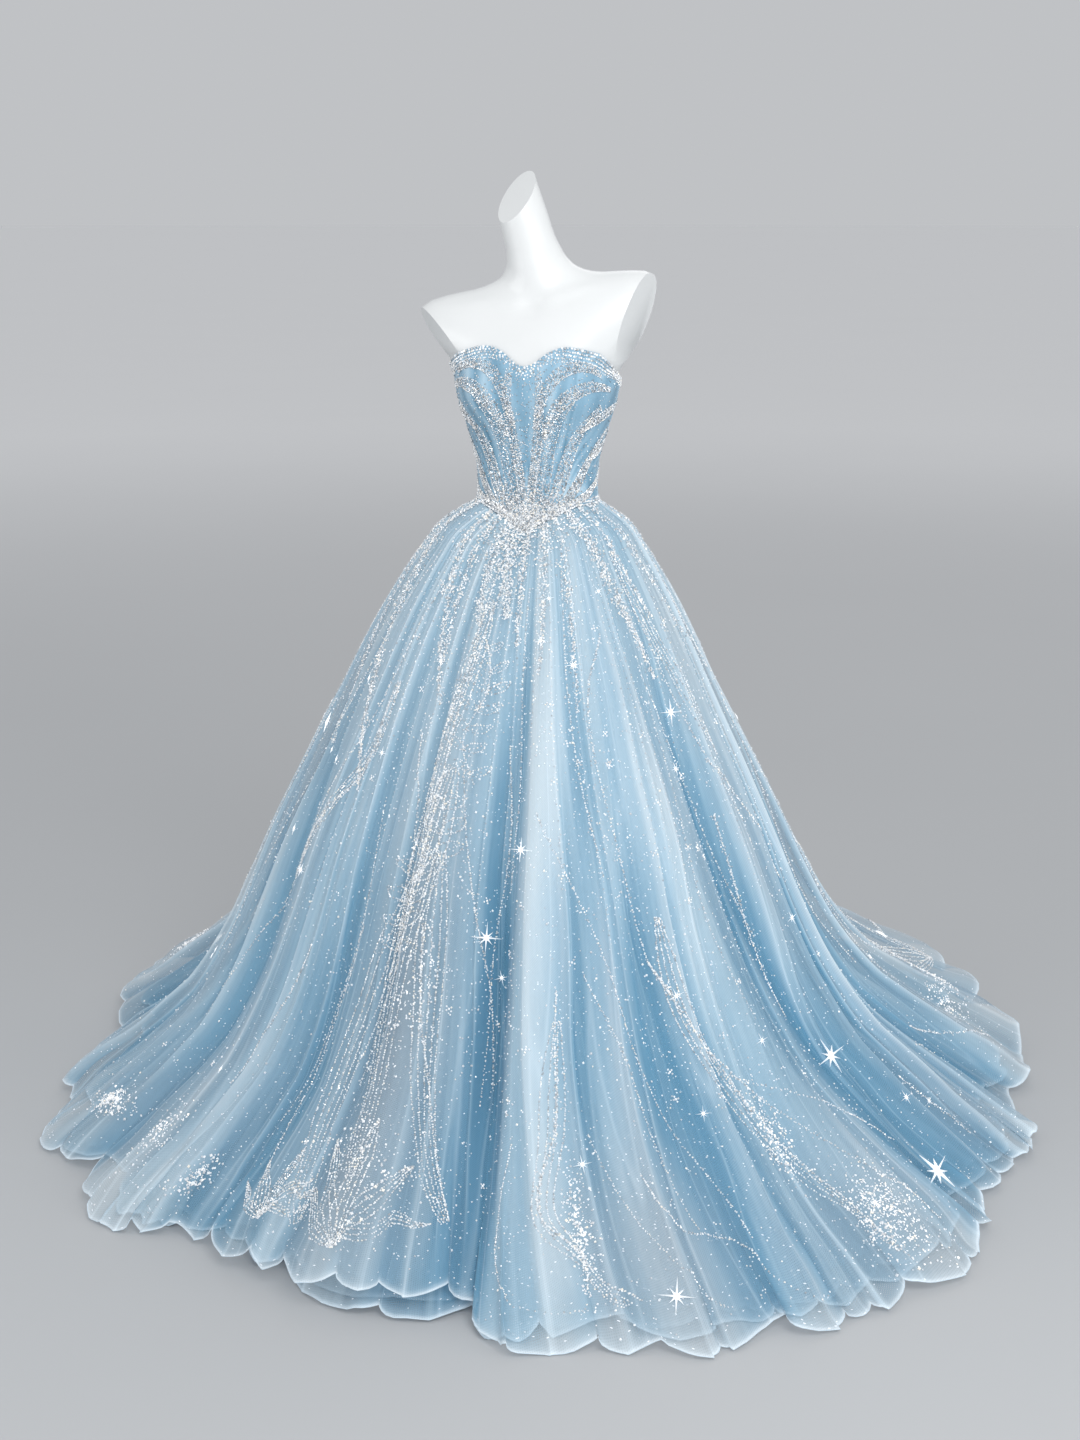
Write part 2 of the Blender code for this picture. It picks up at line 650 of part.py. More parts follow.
def build_skirt_layer(layer, names, finish):
    outside = skirt_points(layer)
    around, outward = grid_directions(outside, wraps=True)
    outward[0, :, 2] = 0.0
    outward[-1, :, 2] = 0.0
    inside = outside - outward * layer["wall"]
    columns = outside.shape[1]
    each = columns // len(names)
    start = -(each // 2)
    for number, name in enumerate(names):
        picked = np.arange(start + number * each, start + (number + 1) * each + 1) % columns
        walls = []
        for wall in (outside, inside):
            panel = wall[:, picked].copy()
            panel[:, 0] += around[:, picked[0]] * SEAM_GAP / 2
            panel[:, -1] -= around[:, picked[-1]] * SEAM_GAP / 2
            walls.append(panel)
        mesh = wall_mesh(name, *walls)
        split_triangles(mesh)
        add_object(name, mesh, finish)


def main():
    clear_scene()
    build_form_torso()
    build_stand()
    build_bodice()
    build_skirt_layer(OVERSKIRT, OVERSKIRT_GORES, TULLE_BLUE)
    build_skirt_layer(TULLE_LAYER, ["tulle_layer_" + side for side in LAYER_PANELS], LAYER_BLUE)
    build_skirt_layer(UNDERSKIRT, ["underskirt_" + side for side in LAYER_PANELS], SATIN_BLUE)


main()
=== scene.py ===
import math

import bpy
import numpy as np
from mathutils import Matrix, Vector


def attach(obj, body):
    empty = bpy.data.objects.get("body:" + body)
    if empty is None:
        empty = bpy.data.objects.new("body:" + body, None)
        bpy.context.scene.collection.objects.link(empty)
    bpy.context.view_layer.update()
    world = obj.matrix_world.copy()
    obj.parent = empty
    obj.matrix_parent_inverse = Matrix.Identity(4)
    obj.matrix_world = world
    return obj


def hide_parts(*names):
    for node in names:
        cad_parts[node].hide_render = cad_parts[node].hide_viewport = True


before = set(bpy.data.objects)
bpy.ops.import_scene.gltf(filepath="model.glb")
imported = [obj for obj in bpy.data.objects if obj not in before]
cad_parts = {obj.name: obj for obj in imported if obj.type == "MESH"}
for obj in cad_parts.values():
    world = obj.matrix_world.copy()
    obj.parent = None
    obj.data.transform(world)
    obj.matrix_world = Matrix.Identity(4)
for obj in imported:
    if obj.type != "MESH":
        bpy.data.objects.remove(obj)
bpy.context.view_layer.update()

TURN = 2.0 * math.pi

# ---------------------------------------------------------------- the gown's own sizes
# The form's skin in rings: heights in front, at the side and behind, half its width, how far it
# reaches to the front and the back, and how square it is.
FORM_ROWS = (
    (0.800, 0.800, 0.800, 0.1180, 0.0830, 0.0900, 2.0),
    (0.820, 0.820, 0.820, 0.1460, 0.1050, 0.1120, 2.0),
    (0.870, 0.870, 0.870, 0.1580, 0.1160, 0.1250, 2.0),
    (0.940, 0.940, 0.940, 0.1560, 0.1120, 0.1240, 2.0),
    (1.010, 1.010, 1.010, 0.1380, 0.0990, 0.1120, 2.0),
    (1.060, 1.060, 1.060, 0.1180, 0.0870, 0.0970, 2.0),
    (1.100, 1.100, 1.100, 0.1020, 0.0780, 0.0850, 2.0),
    (1.140, 1.140, 1.140, 0.0955, 0.0735, 0.0770, 2.0),
    (1.178, 1.178, 1.178, 0.0950, 0.0735, 0.0740, 2.0),
    (1.214, 1.214, 1.214, 0.1025, 0.0785, 0.0775, 2.0),
    (1.244, 1.244, 1.244, 0.1125, 0.0850, 0.0830, 2.0),
    (1.275, 1.275, 1.275, 0.1230, 0.0910, 0.0890, 2.0),
    (1.302, 1.302, 1.302, 0.1310, 0.0960, 0.0940, 2.05),
    (1.328, 1.328, 1.330, 0.1360, 0.0980, 0.0980, 2.1),
    (1.353, 1.350, 1.358, 0.1400, 0.0960, 0.1020, 2.15),
    (1.375, 1.372, 1.385, 0.1580, 0.0910, 0.1030, 2.2),
    (1.395, 1.403, 1.412, 0.1860, 0.0840, 0.1000, 2.25),
    (1.412, 1.436, 1.438, 0.2070, 0.0770, 0.0930, 2.3),
    (1.427, 1.468, 1.461, 0.2080, 0.0700, 0.0840, 2.25),
    (1.440, 1.488, 1.477, 0.1830, 0.0630, 0.0740, 2.2),
    (1.451, 1.494, 1.490, 0.1420, 0.0570, 0.0660, 2.1),
    (1.462, 1.497, 1.501, 0.1050, 0.0520, 0.0600, 2.0),
    (1.473, 1.504, 1.512, 0.0780, 0.0490, 0.0550, 2.0),
    (1.484, 1.513, 1.522, 0.0620, 0.0465, 0.0510, 2.0),
    (1.497, 1.526, 1.534, 0.0520, 0.0450, 0.0475, 2.0),
    (1.522, 1.547, 1.553, 0.0450, 0.0435, 0.0440, 2.0),
    (1.560, 1.575, 1.580, 0.0405, 0.0410, 0.0410, 2.0),
    (1.605, 1.615, 1.620, 0.0365, 0.0380, 0.0380, 2.0),
    (1.650, 1.655, 1.660, 0.0335, 0.0350, 0.0350, 2.0),
    (1.710, 1.712, 1.715, 0.0320, 0.0330, 0.0330, 2.0),
)
BUST_DIRECTION = 36.0
BUST_Z = 1.306
BUST_RISE = 0.019
BUST_SPREAD = 0.42
BUST_HEIGHT = 0.046
BUST_SIDEWAYS = 0.6
SHOULDER_SLOPE = 0.14
SLOPE_FROM_Z = 1.345
SLOPE_TO_Z = 1.440
NECK_LEAN = (-0.235, -0.060)
NECK_LEAN_FROM_Z = 1.480
NECK_OFFSET = 0.003
NECK_CUT_AT = (-0.021, -0.008, 1.645)
NECK_CUT_FACING = (-0.52, -0.60, 0.60)
NECK_CUT_FROM_Z = 1.550
STUMP_CUTS = (                        # a place on each cut, and the way that it faces
    ((0.175, 0.0, 1.428), (0.88, -0.25, -0.38)),
    ((-0.174, 0.0, 1.428), (-0.81, -0.44, -0.38)),
)
STUMP_FROM_Z = 1.340
COLLARBONE_RISE = 0.0044
COLLARBONE_FROM = (0.020, 1.462)      # out from the middle, height
COLLARBONE_SLOPE = 0.26
COLLARBONE_BOW = 0.35
COLLARBONE_LENGTH = 0.110
COLLARBONE_THICK = 0.0065
THROAT_HOLLOW = (0.003, 1.458, 0.019, 0.0040)  # x, z, radius, depth
NECK_THICKER = 0.0026                 # at its top, than the rings say
NECK_THICKER_Z = (1.53, 1.60)
RIM_ROUND = 0.0035
SHARP_FROM_DEG = 38.0
FORM_COLUMNS = 120
FORM_RINGS = 130
SETTLING_ROUNDS = 8                   # to find a line on the form

WAIST_Z = 1.128
WAIST_POINT = 0.042
WAIST_POINT_DEG = 62.0
WAIST_POINT_POWER = 1.35
BODICE_WALL = 0.0020
BODICE_EASE_BUST = 0.0024
BODICE_EASE_WAIST = 0.0066
EASE_FROM_Z = 1.165
EASE_TO_Z = 1.250
# The neckline: degrees from the front, height
NECKLINE = (
    (0.0, 1.360), (9.0, 1.365), (22.0, 1.381), (40.0, 1.392), (58.0, 1.382),
    (76.0, 1.356), (95.0, 1.334), (135.0, 1.317), (180.0, 1.312),
)
BODICE_SEAMS = (-96.0, -34.0, 34.0, 96.0, 180.0)
SEAM_DEPTH = 0.0006
SEAM_WIDTH = 1.1                      # degrees
PLEAT_DEPTH = 0.00055
PLEATS = 4.3                          # on each side
FAN_WIDTH = (18.0, 62.0)              # degrees at the waist, and how many more at the neckline
STRAIN_DEPTH = 0.0007
BODICE_COLUMNS = 240
BODICE_SHOWN_ROWS = 62
BODICE_INSIDE_ROWS = 14
BODICE_SHADING_DEPTH = 0.0020
EDGE_ROLL = 4                         # steps over the top edge

# The skirt's profile: h, the share of the fall from the waist to the hem, and the share of the way
# out to the hem's radius
SKIRT_PROFILE = (
    (0.00, 0.0), (0.03, 0.066), (0.07, 0.110), (0.12, 0.156), (0.20, 0.220),
    (0.30, 0.290), (0.40, 0.360), (0.50, 0.427), (0.60, 0.488), (0.70, 0.557),
    (0.80, 0.655), (0.90, 0.800), (1.00, 1.0),
)
SKIRT_SWAY = (-0.024, -0.006)
SWAY_POWER = 0.7
# The hem round the gown: degrees, radius, lift off the floor, how far the lower layers come further
HEM_OUTLINE = (
    (0.0, 0.790, 0.036, 0.038),
    (12.0, 0.808, 0.004, 0.0),
    (30.0, 0.862, 0.003, 0.0),
    (46.0, 0.890, 0.004, 0.0),
    (62.0, 0.850, 0.003, 0.0),
    (76.0, 0.872, 0.004, 0.0),
    (92.0, 0.862, 0.003, 0.0),
    (112.0, 0.915, 0.010, 0.0),
    (134.0, 1.045, 0.028, 0.0),
    (156.0, 1.080, 0.032, 0.0),
    (180.0, 1.080, 0.022, 0.0),
    (204.0, 1.070, 0.032, 0.0),
    (228.0, 1.045, 0.028, 0.0),
    (250.0, 1.000, 0.012, 0.0),
    (270.0, 0.875, 0.003, 0.0),
    (290.0, 0.856, 0.003, 0.0),
    (308.0, 0.820, 0.004, 0.0),
    (326.0, 0.772, 0.006, 0.0),
    (340.0, 0.762, 0.030, 0.0),
    (350.0, 0.785, 0.055, 0.030),
)
# The main folds: direction at the hem and at the top and half the width, in degrees, then depth,
# the h they start at, and how far they lean to the side, as a share of the depth
FOLDS = (
    (4.6, 14.0, 3.8, -0.060, 0.12, 0.1),
    (11.2, 22.0, 4.2, 0.056, 0.14, -0.55),
    (27.0, 30.0, 3.8, 0.024, 0.40, 0.6),
    (36.0, 36.0, 3.4, -0.022, 0.45, 0.0),
    (61.0, 41.0, 6.0, 0.040, 0.16, 0.9),
    (78.0, 53.0, 5.0, -0.046, 0.20, 0.0),
    (93.0, 80.0, 5.0, 0.022, 0.35, -0.8),
    (104.0, 98.0, 4.0, -0.026, 0.40, 0.0),
    (117.0, 112.0, 6.0, 0.030, 0.30, -0.8),
    (131.0, 128.0, 4.6, -0.036, 0.35, 0.0),
    (148.0, 146.0, 6.0, 0.034, 0.25, 0.7),
    (163.0, 162.0, 4.4, -0.040, 0.30, 0.0),
    (178.0, 179.0, 6.4, 0.040, 0.20, -0.6),
    (194.0, 196.0, 4.6, -0.036, 0.30, 0.0),
    (211.0, 212.0, 6.0, 0.036, 0.30, 0.8),
    (227.0, 229.0, 4.6, -0.038, 0.30, 0.0),
    (243.0, 246.0, 5.6, 0.034, 0.30, 0.8),
    (259.0, 263.0, 4.2, -0.034, 0.40, 0.0),
    (274.0, 280.0, 5.4, 0.026, 0.30, 0.9),
    (291.0, 296.0, 5.0, 0.026, 0.40, 0.8),
    (302.5, 306.0, 4.0, -0.036, 0.35, 0.0),
    (314.0, 318.0, 4.5, 0.028, 0.35, 0.9),
    (325.5, 329.0, 3.8, -0.032, 0.30, 0.0),
    (336.0, 340.0, 4.5, 0.012, 0.25, 0.4),
    (350.0, 352.0, 5.0, 0.022, 0.20, -0.4),
)
FOLD_GROWTH = 0.7
# How the gathers crowd and spread: times round, shift, phase
SPREAD_TERMS = ((5, 0.034, 0.7), (8, 0.019, 2.1), (13, 0.009, 0.4))
UNEVEN_MEAN = 0.66
UNEVEN_SWING = 0.34
UNEVEN_LONG = (3, 0.4)
UNEVEN_SHORT = (7, 1.1)
UNEVEN_FROM_H = 0.3
GATHERS_PROUD = 0.0025
HEM_FLOOR_GAP = 0.0006
RIPPLE_MIDDLE_POWER = 0.75
RIPPLE_HEM_POWER = 3.0
INSET_MIDDLE_RATE = 5.0
PLY_OPENS = (0.02, 0.35)              # h over which the inner ply comes away from the outer one
PLY_SPREADS = 0.9                     # how much further it stands off at the hem

# What the cloth does between the main folds: folds with one steep side, soft waves that wander,
# fine gathers at the waist, and a hem that stands in lobes. All depths are in metres.
OVERSKIRT = {
    "folds": 40, "minor_share": 0.42, "ripple": (0.0040, 0.0112, 0.0036), "inset": (0.0, 0.0, 0.0),
    "ply": 0.0, "follows_lift": 1.0, "comes_further": 0.0, "top_drop": 0.0003,
    "columns": 620, "rows": (18, 31, 30), "crest_columns": (-0.0060, -0.0018, 0.0, 0.0018, 0.0060),
    "seed": 11, "soft_folds": 0.0070, "waist_gathers": 0.0008,
    "lobe": 0.0225, "pinch_rise": 0.0300, "arch": 0.0190,
}
TULLE_LAYER = {
    "folds": 36, "minor_share": 0.4, "ripple": (0.0, 0.0064, 0.0040),
    "inset": (0.0047, 0.0340, 0.0120),
    "ply": 0.0, "follows_lift": 0.0, "comes_further": 1.0, "top_drop": 0.0014,
    "columns": 460, "rows": (10, 25, 24), "crest_columns": (-0.0050, 0.0, 0.0050),
    "seed": 23, "soft_folds": 0.0060, "waist_gathers": 0.0,
    "lobe": 0.0180, "pinch_rise": 0.0240, "arch": 0.0160,
}
INNER_PLY = dict(
    TULLE_LAYER, ply=0.0150, comes_further=0.4, folds=33, columns=330, rows=(8, 21, 20), seed=37,
)
UNDERSKIRT = {
    "folds": 30, "minor_share": 0.4, "ripple": (0.0, 0.0050, 0.0060),
    "inset": (0.0064, 0.0566, 0.0620),
    "ply": 0.0, "follows_lift": 0.0, "comes_further": 0.0, "top_drop": 0.0017,
    "columns": 160, "rows": (8, 26, 16), "crest_columns": (-0.0060, 0.0, 0.0060),
    "seed": 51, "soft_folds": 0.0060, "waist_gathers": 0.0,
    "lobe": 0.0060, "pinch_rise": 0.0060, "arch": 0.0050,
}
FOLD_JITTER = 0.28                    # of the spacing of the gathers
FOLD_SIZES = ((0.35, 1.0), (0.15, 0.50))     # of the even folds, and of the minor ones between
FOLD_STARTS = ((-0.1, 0.1), (0.05, 0.5))     # h, for the same two
MINOR_BETWEEN = (0.38, 0.62)          # of the way from one even fold to the next
FOLD_SHINE = (0.15, 1.0)
FOLD_RISES = 0.12                     # h over which a fold comes up, half before its start
CREST_ROUND = 0.0018                  # radians of turn, as are the three below
GENTLE_WIDTH = 0.064
STEEP_WIDTH = (0.018, 0.0050)         # at the waist and further down
LINE_WIDTH = 0.0021
FOLD_GAIN = 1.70
FOLD_MEAN = 0.42
# Waves that wander over a layer: how many round it and down it, and what is added to its seed
WAVES = {
    "drift": (26, 4, 0), "fine_drift": (61, 7, 8), "soft": (58, 3, 1), "gathers": (40, 6, 4),
    "floats": (37, 1, 6), "buckle": (104, 16, 7), "fine_buckle": (260, 22, 10),
    "crinkle": (176, 1, 12), "shine": (90, 8, 9),
}
DRIFT = (0.022, 0.007)                # radians that the folds stray, in long and short waves
DRIFT_GROWS = (0.08, 0.55)            # h over which it sets in, as are the two below
SOFT_GROWS = (0.08, 0.45)
GATHERS_FADE = (0.05, 0.30)
FINE_GATHERS = 142.0                  # round the waist
WAIST_ROWS_TO = 0.12                  # h, where the rows of the waist's part end
HEM_FROM = 0.80                       # h, where the hem's part of the cloth begins
HEM_SHARE = 0.20                      # of the fall, below it
HEM_FLATTENS = 0.8                    # the share of the fine folds that is gone at the hem
NEAR_HEM_POWER = 1.3
HEM_ROUND = 0.0140                    # how far the cloth bellies out just above the hem
LIES_BEHIND = (66.0, 100.0)           # degrees from the front, past which the hem lies on the floor
ARCH_GROWS = (0.68, 0.94)             # h over which the lobes lift there
LOBE_SIZES = (0.45, 0.65)             # of the least fold's lobe, and what the largest adds
NOTCH_DEPTHS = (0.7, 1.4)             # the same, for the notch between two lobes
NOTCH_POWERS = (2.0, 1.7)             # of a round notch and of a pointed one
NOTCH_MIX = 7.3                       # spreads the two kinds over the folds
LOBE_WIDTH = 0.100                    # radians from fold to fold for a lobe of the usual size
PINCH_COLUMNS = (-0.006, 0.0, 0.006)
PINCH_CLEAR = 0.0030                  # radians that such a column keeps from the crests' columns
EVEN_CLEAR = 0.0036                   # and the even columns from both
PINCH_TIGHT = 0.125                   # how far the cloth closes in on a pinch, of the lobe
PINCH_OFF = 0.13                      # how far a pinch is from the middle of its gap, as a share
BUCKLE_OUT = 0.0048
BUCKLE_UP = 0.0060
CRINKLE_OUT = 0.0052
CRINKLE_UP = 0.0070
# Painted shading of the skirt's colour: lighter where the folds, main folds, soft waves and hem
# lobes stand proud, painted shade in the valleys between them
SHADING_LEAST = 0.18
SHADING_OF_FOLDS = 0.62
SHADING_OF_DEPTH = 0.42
SHADING_OF_SOFT_FOLDS = 0.24
SHADING_OF_LOBES = 0.18
DEEP_FOLD = 0.022
HEM_SIDES = 5                         # of the rolled hem
HEM_OFF_FLOOR = 0.0003
FLAT_SLOPE = 0.15                     # up to which the side of a fold counts as flat
EDGE_PALE = 0.0035                    # of the fall, where the edge is pale

# ---------------------------------------------------------------- colours, linear
FORM_WHITE = (0.775, 0.79, 0.79)
STEEL = (0.62, 0.63, 0.65)
# painted shade in the valleys and low down, the tulle's blue in between, painted highlight on the
# crests, then where the tulle is greyer, and its edge
OVERSKIRT_BLUES = (
    (0.15, 0.37, 0.54), (0.45, 0.65, 0.785), (0.78, 0.885, 0.945), (0.43, 0.51, 0.58),
    (0.81, 0.90, 0.96),
)
LAYER_BLUES = (
    (0.12, 0.35, 0.54), (0.43, 0.65, 0.795), (0.76, 0.885, 0.945), (0.41, 0.51, 0.59),
    (0.73, 0.85, 0.93),
)
# satin blues: painted shade in the valleys of folds, pleats and seams, the satin's blue, and
# painted highlight where they stand proud
UNDERSKIRT_BLUES = ((0.08, 0.29, 0.46), (0.33, 0.57, 0.74), (0.60, 0.785, 0.90))
BODICE_BLUES = ((0.10, 0.245, 0.36), (0.25, 0.435, 0.575), (0.49, 0.655, 0.765))
THREAD_DARK = (0.54, 0.71, 0.83)
THREAD_PALE = (0.80, 0.90, 0.97)
BEAD_DUST = (0.92, 0.95, 1.0)
WARM_GLINT = (1.0, 0.92, 0.80)
# name, how dark the darkest bead is, colour, roughness, metallic, and painted glow that stands in
# for sparkle
BEAD_FINISHES = (
    ("silver_beads", 0.36, (0.70, 0.74, 0.78), 0.14, 0.30, 0.0),
    ("pale_silver_beads", 0.48, (0.78, 0.82, 0.86), 0.12, 0.18, 0.05),
    ("cut_stones", 0.62, (0.90, 0.92, 0.95), 0.08, 0.10, 0.14),
    ("star_thread", 0.9, (0.98, 0.99, 1.0), 0.24, 0.10, 0.30),
)
# Where the tulle is greyer and sheerer: direction, h, half_turn, half_fall, amount
VEILS = (
    (349.0, 0.78, 11.0, 0.36, 1.0), (27.0, 0.93, 10.0, 0.12, 0.9), (54.0, 0.95, 9.0, 0.12, 0.8),
    (88.0, 0.92, 9.0, 0.10, 0.5), (300.0, 0.92, 9.0, 0.10, 0.6), (322.0, 0.88, 6.0, 0.14, 0.5),
    (140.0, 0.90, 12.0, 0.14, 0.6), (198.0, 0.88, 12.0, 0.16, 0.7), (238.0, 0.90, 12.0, 0.14, 0.6),
)

# ---------------------------------------------------------------- studio and camera
# the floor's colour is painted light and shade: grey near the gown where the lamps fall, pale far
# off to match the air
FLOOR_NEAR = (0.50, 0.51, 0.52)
FLOOR_FAR = (0.988, 0.988, 0.99)
FLOOR_RADIUS = 90.0
AIR = (0.88, 0.90, 0.93)
AIR_STRENGTH = 0.60
LIGHTS_AIM = (0.0, 0.0, 0.85)
# name, place, size, energy
LIGHTS = (
    ("key_light", (1.7, -3.6, 3.3), 2.4, 112.0),
    ("left_light", (-3.2, -2.6, 2.2), 2.6, 38.0),
    ("right_light", (3.8, -1.6, 1.4), 2.4, 40.0),
    ("back_light", (0.4, 3.4, 4.2), 3.0, 26.0),
)
CAMERA_DISTANCE = 3.6449
CAMERA_HEIGHT = 1.65
CAMERA_ASIDE = 0.004
CAMERA_AZIMUTH = 13.0                 # degrees, as is the one below
CAMERA_DOWN = 14.0
CAMERA_LENS = 53.598


# ---------------------------------------------------------------- small helpers
def smooth_step(low, high, value):
    part = np.clip((value - low) / (high - low), 0.0, 1.0)
    return part * part * (3.0 - 2.0 * part)


def wrapped(angle):
    """The same angle, from minus half a turn to half a turn."""
    return np.arctan2(np.sin(angle), np.cos(angle))


def short_way(step, whole=TURN):
    """A step round a circle of so many units, taken the short way."""
    return np.mod(step + whole / 2, whole) - whole / 2


def bearing(points):
    """The direction of points round the gown, 0 in front and rising to the wearer's left."""
    return np.arctan2(points[..., 0], -points[..., 1])


def unit(vectors):
    return vectors / np.maximum(np.linalg.norm(vectors, axis=-1, keepdims=True), 1e-9)


def curve_through(keys, values, at, period=None):
    """Values at any place, on a smooth curve through a table's rows."""
    keys = np.asarray(keys, float)
    values = np.asarray(values, float)
    at = np.asarray(at, float)
    if period is not None:
        keys = np.concatenate([keys[-2:] - period, keys, keys[:2] + period])
        values = np.concatenate([values[-2:], values, values[:2]])
        at = np.mod(at, period)
    slopes = np.gradient(values, keys)
    right = np.clip(np.searchsorted(keys, at, side="right"), 1, len(keys) - 1)
    left = right - 1
    span = keys[right] - keys[left]
    u = np.clip((at - keys[left]) / span, 0.0, 1.0)
    start = (1.0 + 2.0 * u) * (1.0 - u) ** 2 * values[left]
    start = start + u * (1.0 - u) ** 2 * span * slopes[left]
    end = u * u * (3.0 - 2.0 * u) * values[right]
    return start + end + u * u * (u - 1.0) * span * slopes[right]


def curve_of(table, index, at, period=None):
    """A column of a table, as a smooth curve over the table's first column."""
    keys, values = ([row[k] for row in table] for k in (0, index))
    return curve_through(keys, values, at, period)


def between_four(grid, j, i, v, u):
    """The value between four neighbours of a grid that closes round."""
    count = grid.shape[1]
    near = grid[j, i % count] * (1 - u) + grid[j, (i + 1) % count] * u
    far = grid[j + 1, i % count] * (1 - u) + grid[j + 1, (i + 1) % count] * u
    return near * (1 - v) + far * v


def wandering(turn, h, around, down, seed):
    """Soft uneven waves from -1 to 1, so many round the gown and so many down it."""
    table = np.random.default_rng(seed).uniform(-1.0, 1.0, (down + 1, around))
    across = np.mod(turn / TURN, 1.0) * around
    along = np.clip(h, 0.0, 1.0) * down
    across, along = np.broadcast_arrays(across, along)
    i = np.floor(across).astype(int)
    j = np.minimum(np.floor(along).astype(int), down - 1)
    u = across - i
    v = along - j
    u = u * u * (3.0 - 2.0 * u)
    v = v * v * (3.0 - 2.0 * v)
    return between_four(table, j, i, v, u)


# ---------------------------------------------------------------- the form's and gown's surfaces
def form_surface(phi, front_z):
    """Points of the form's skin, from the turn round it and the height of their ring in front."""
    front_z = np.broadcast_to(front_z, phi.shape)
    side_z, back_z, half_width, front, back, squareness = (
        curve_of(FORM_ROWS, i, front_z) for i in range(1, 7)
    )
    across = np.sin(phi)
    ahead = np.cos(phi)
    power = 2.0 / squareness
    x = half_width * np.sign(across) * np.abs(across) ** power
    depth = np.where(ahead > 0, front, back)
    y = -depth * np.sign(ahead) * np.abs(ahead) ** power
    middle_z = np.where(ahead > 0, front_z, back_z)
    z = side_z * across**2 + middle_z * ahead**2
    bust = np.zeros_like(phi)
    for side in (-1.0, 1.0):
        turn = wrapped(phi - side * math.radians(BUST_DIRECTION))
        bust = bust + np.exp(-((turn / BUST_SPREAD) ** 2) - ((front_z - BUST_Z) / BUST_HEIGHT) ** 2)
    x = x + BUST_RISE * bust * across * BUST_SIDEWAYS
    y = y - BUST_RISE * bust * ahead
    z = z + SHOULDER_SLOPE * smooth_step(SLOPE_FROM_Z, SLOPE_TO_Z, front_z) * x
    above = np.maximum(front_z - NECK_LEAN_FROM_Z, 0.0)
    settled = smooth_step(SLOPE_TO_Z, NECK_LEAN_FROM_Z, front_z)
    x = x + NECK_OFFSET * settled + NECK_LEAN[0] * above
    y = y + NECK_LEAN[1] * above
    return np.stack([x, y, z], axis=-1)


def off_the_form(phi, front_z, distance):
    """Points at a distance outside the form's skin."""
    step = 0.002
    around = form_surface(phi + step, front_z) - form_surface(phi - step, front_z)
    up = form_surface(phi, front_z + step) - form_surface(phi, front_z - step)
    outward = unit(np.cross(around, up))
    return form_surface(phi, front_z) + outward * np.asarray(distance)[..., None]


def waist_seam_z(direction):
    near = np.clip(1.0 - np.abs(wrapped(direction)) / math.radians(WAIST_POINT_DEG), 0.0, 1.0)
    return WAIST_Z - WAIST_POINT * near**WAIST_POINT_POWER


def neckline_z(direction):
    return curve_of(NECKLINE, 1, np.degrees(np.abs(wrapped(direction))))


def height_on_form(phi, wanted):
    """The ring of the form that meets a line such as the neckline, at each turn round it."""
    front_z = np.array(wanted(phi), float)
    for _ in range(SETTLING_ROUNDS):
        point = form_surface(phi, front_z)
        front_z = front_z + wanted(bearing(point)) - point[..., 2]
    return front_z


def bodice_ease(front_z):
    spread = smooth_step(EASE_FROM_Z, EASE_TO_Z, front_z)
    return BODICE_EASE_WAIST + (BODICE_EASE_BUST - BODICE_EASE_WAIST) * spread


def waist_reach(direction):
    """How far the outside of the bodice's lower edge is from the middle, in each direction."""
    phi = np.array(direction, float)
    for _ in range(SETTLING_ROUNDS):
        point = form_surface(phi, waist_seam_z(direction))
        phi = phi + wrapped(direction - bearing(point))
    out = off_the_form(phi, waist_seam_z(direction), BODICE_EASE_WAIST + BODICE_WALL)
    return np.hypot(out[..., 0], out[..., 1])


def spread_gathers(turn):
    """Directions in which evenly counted gathers lie, here closer together and there apart."""
    direction = np.array(turn, float)
    for times, shift, phase in SPREAD_TERMS:
        direction = direction + shift * (np.sin(times * turn + phase) - math.sin(phase))
    return direction


TURNS = np.linspace(-0.2, TURN + 0.2, 4001)
DIRECTIONS = spread_gathers(TURNS)


def turn_of(degrees):
    """The even turn of the gathers that lies at a direction round the gown."""
    return np.interp(np.mod(np.radians(degrees), TURN), DIRECTIONS, TURNS)


def big_folds(direction, h):
    """How far the main folds push the cloth out, and how far they lean it to the side."""
    depth = np.zeros(np.broadcast(direction, h).shape)
    aside = np.zeros_like(depth)
    for hem, top, half_width, fold, start, lean in FOLDS:
        turn = wrapped(direction - np.radians(top + (hem - top) * h))
        grown = np.clip((h - start) / (1.0 - start), 0.0, 1.0) ** FOLD_GROWTH
        bump = fold * grown * np.exp(-((turn / math.radians(half_width)) ** 2))
        depth = depth + bump
        aside = aside + lean * np.abs(bump)
    return depth, aside


def staged(amounts, h):
    waist, middle, hem = amounts
    return waist + middle * h**RIPPLE_MIDDLE_POWER + hem * h**RIPPLE_HEM_POWER


def inset_of(layer, h):
    """How far a layer hangs inside the overskirt."""
    waist, middle, hem = layer["inset"]
    inset = waist + middle * (1.0 - np.exp(-INSET_MIDDLE_RATE * h)) + hem * h**RIPPLE_HEM_POWER
    return inset + layer["ply"] * smooth_step(*PLY_OPENS, h) * (1.0 + PLY_SPREADS * h**3)


def unevenness(turn, h):
    """How deep the gathers are in each place, against their usual depth."""
    swing = np.sin(UNEVEN_LONG[0] * turn + UNEVEN_LONG[1])
    swing = swing * np.sin(UNEVEN_SHORT[0] * turn + UNEVEN_SHORT[1])
    return 1.0 + smooth_step(0.0, UNEVEN_FROM_H, h) * (UNEVEN_MEAN - 1.0 + UNEVEN_SWING * swing)


# Each fold is a row: its place, size, steep side (-1 or 1), the fall it starts at, and its shine,
# the strength of the painted highlight along its crest, which also says how its lobe of the hem is
# shaped.
PLACE, SIZE, STEEP, SHINE = 0, 1, 2, 4


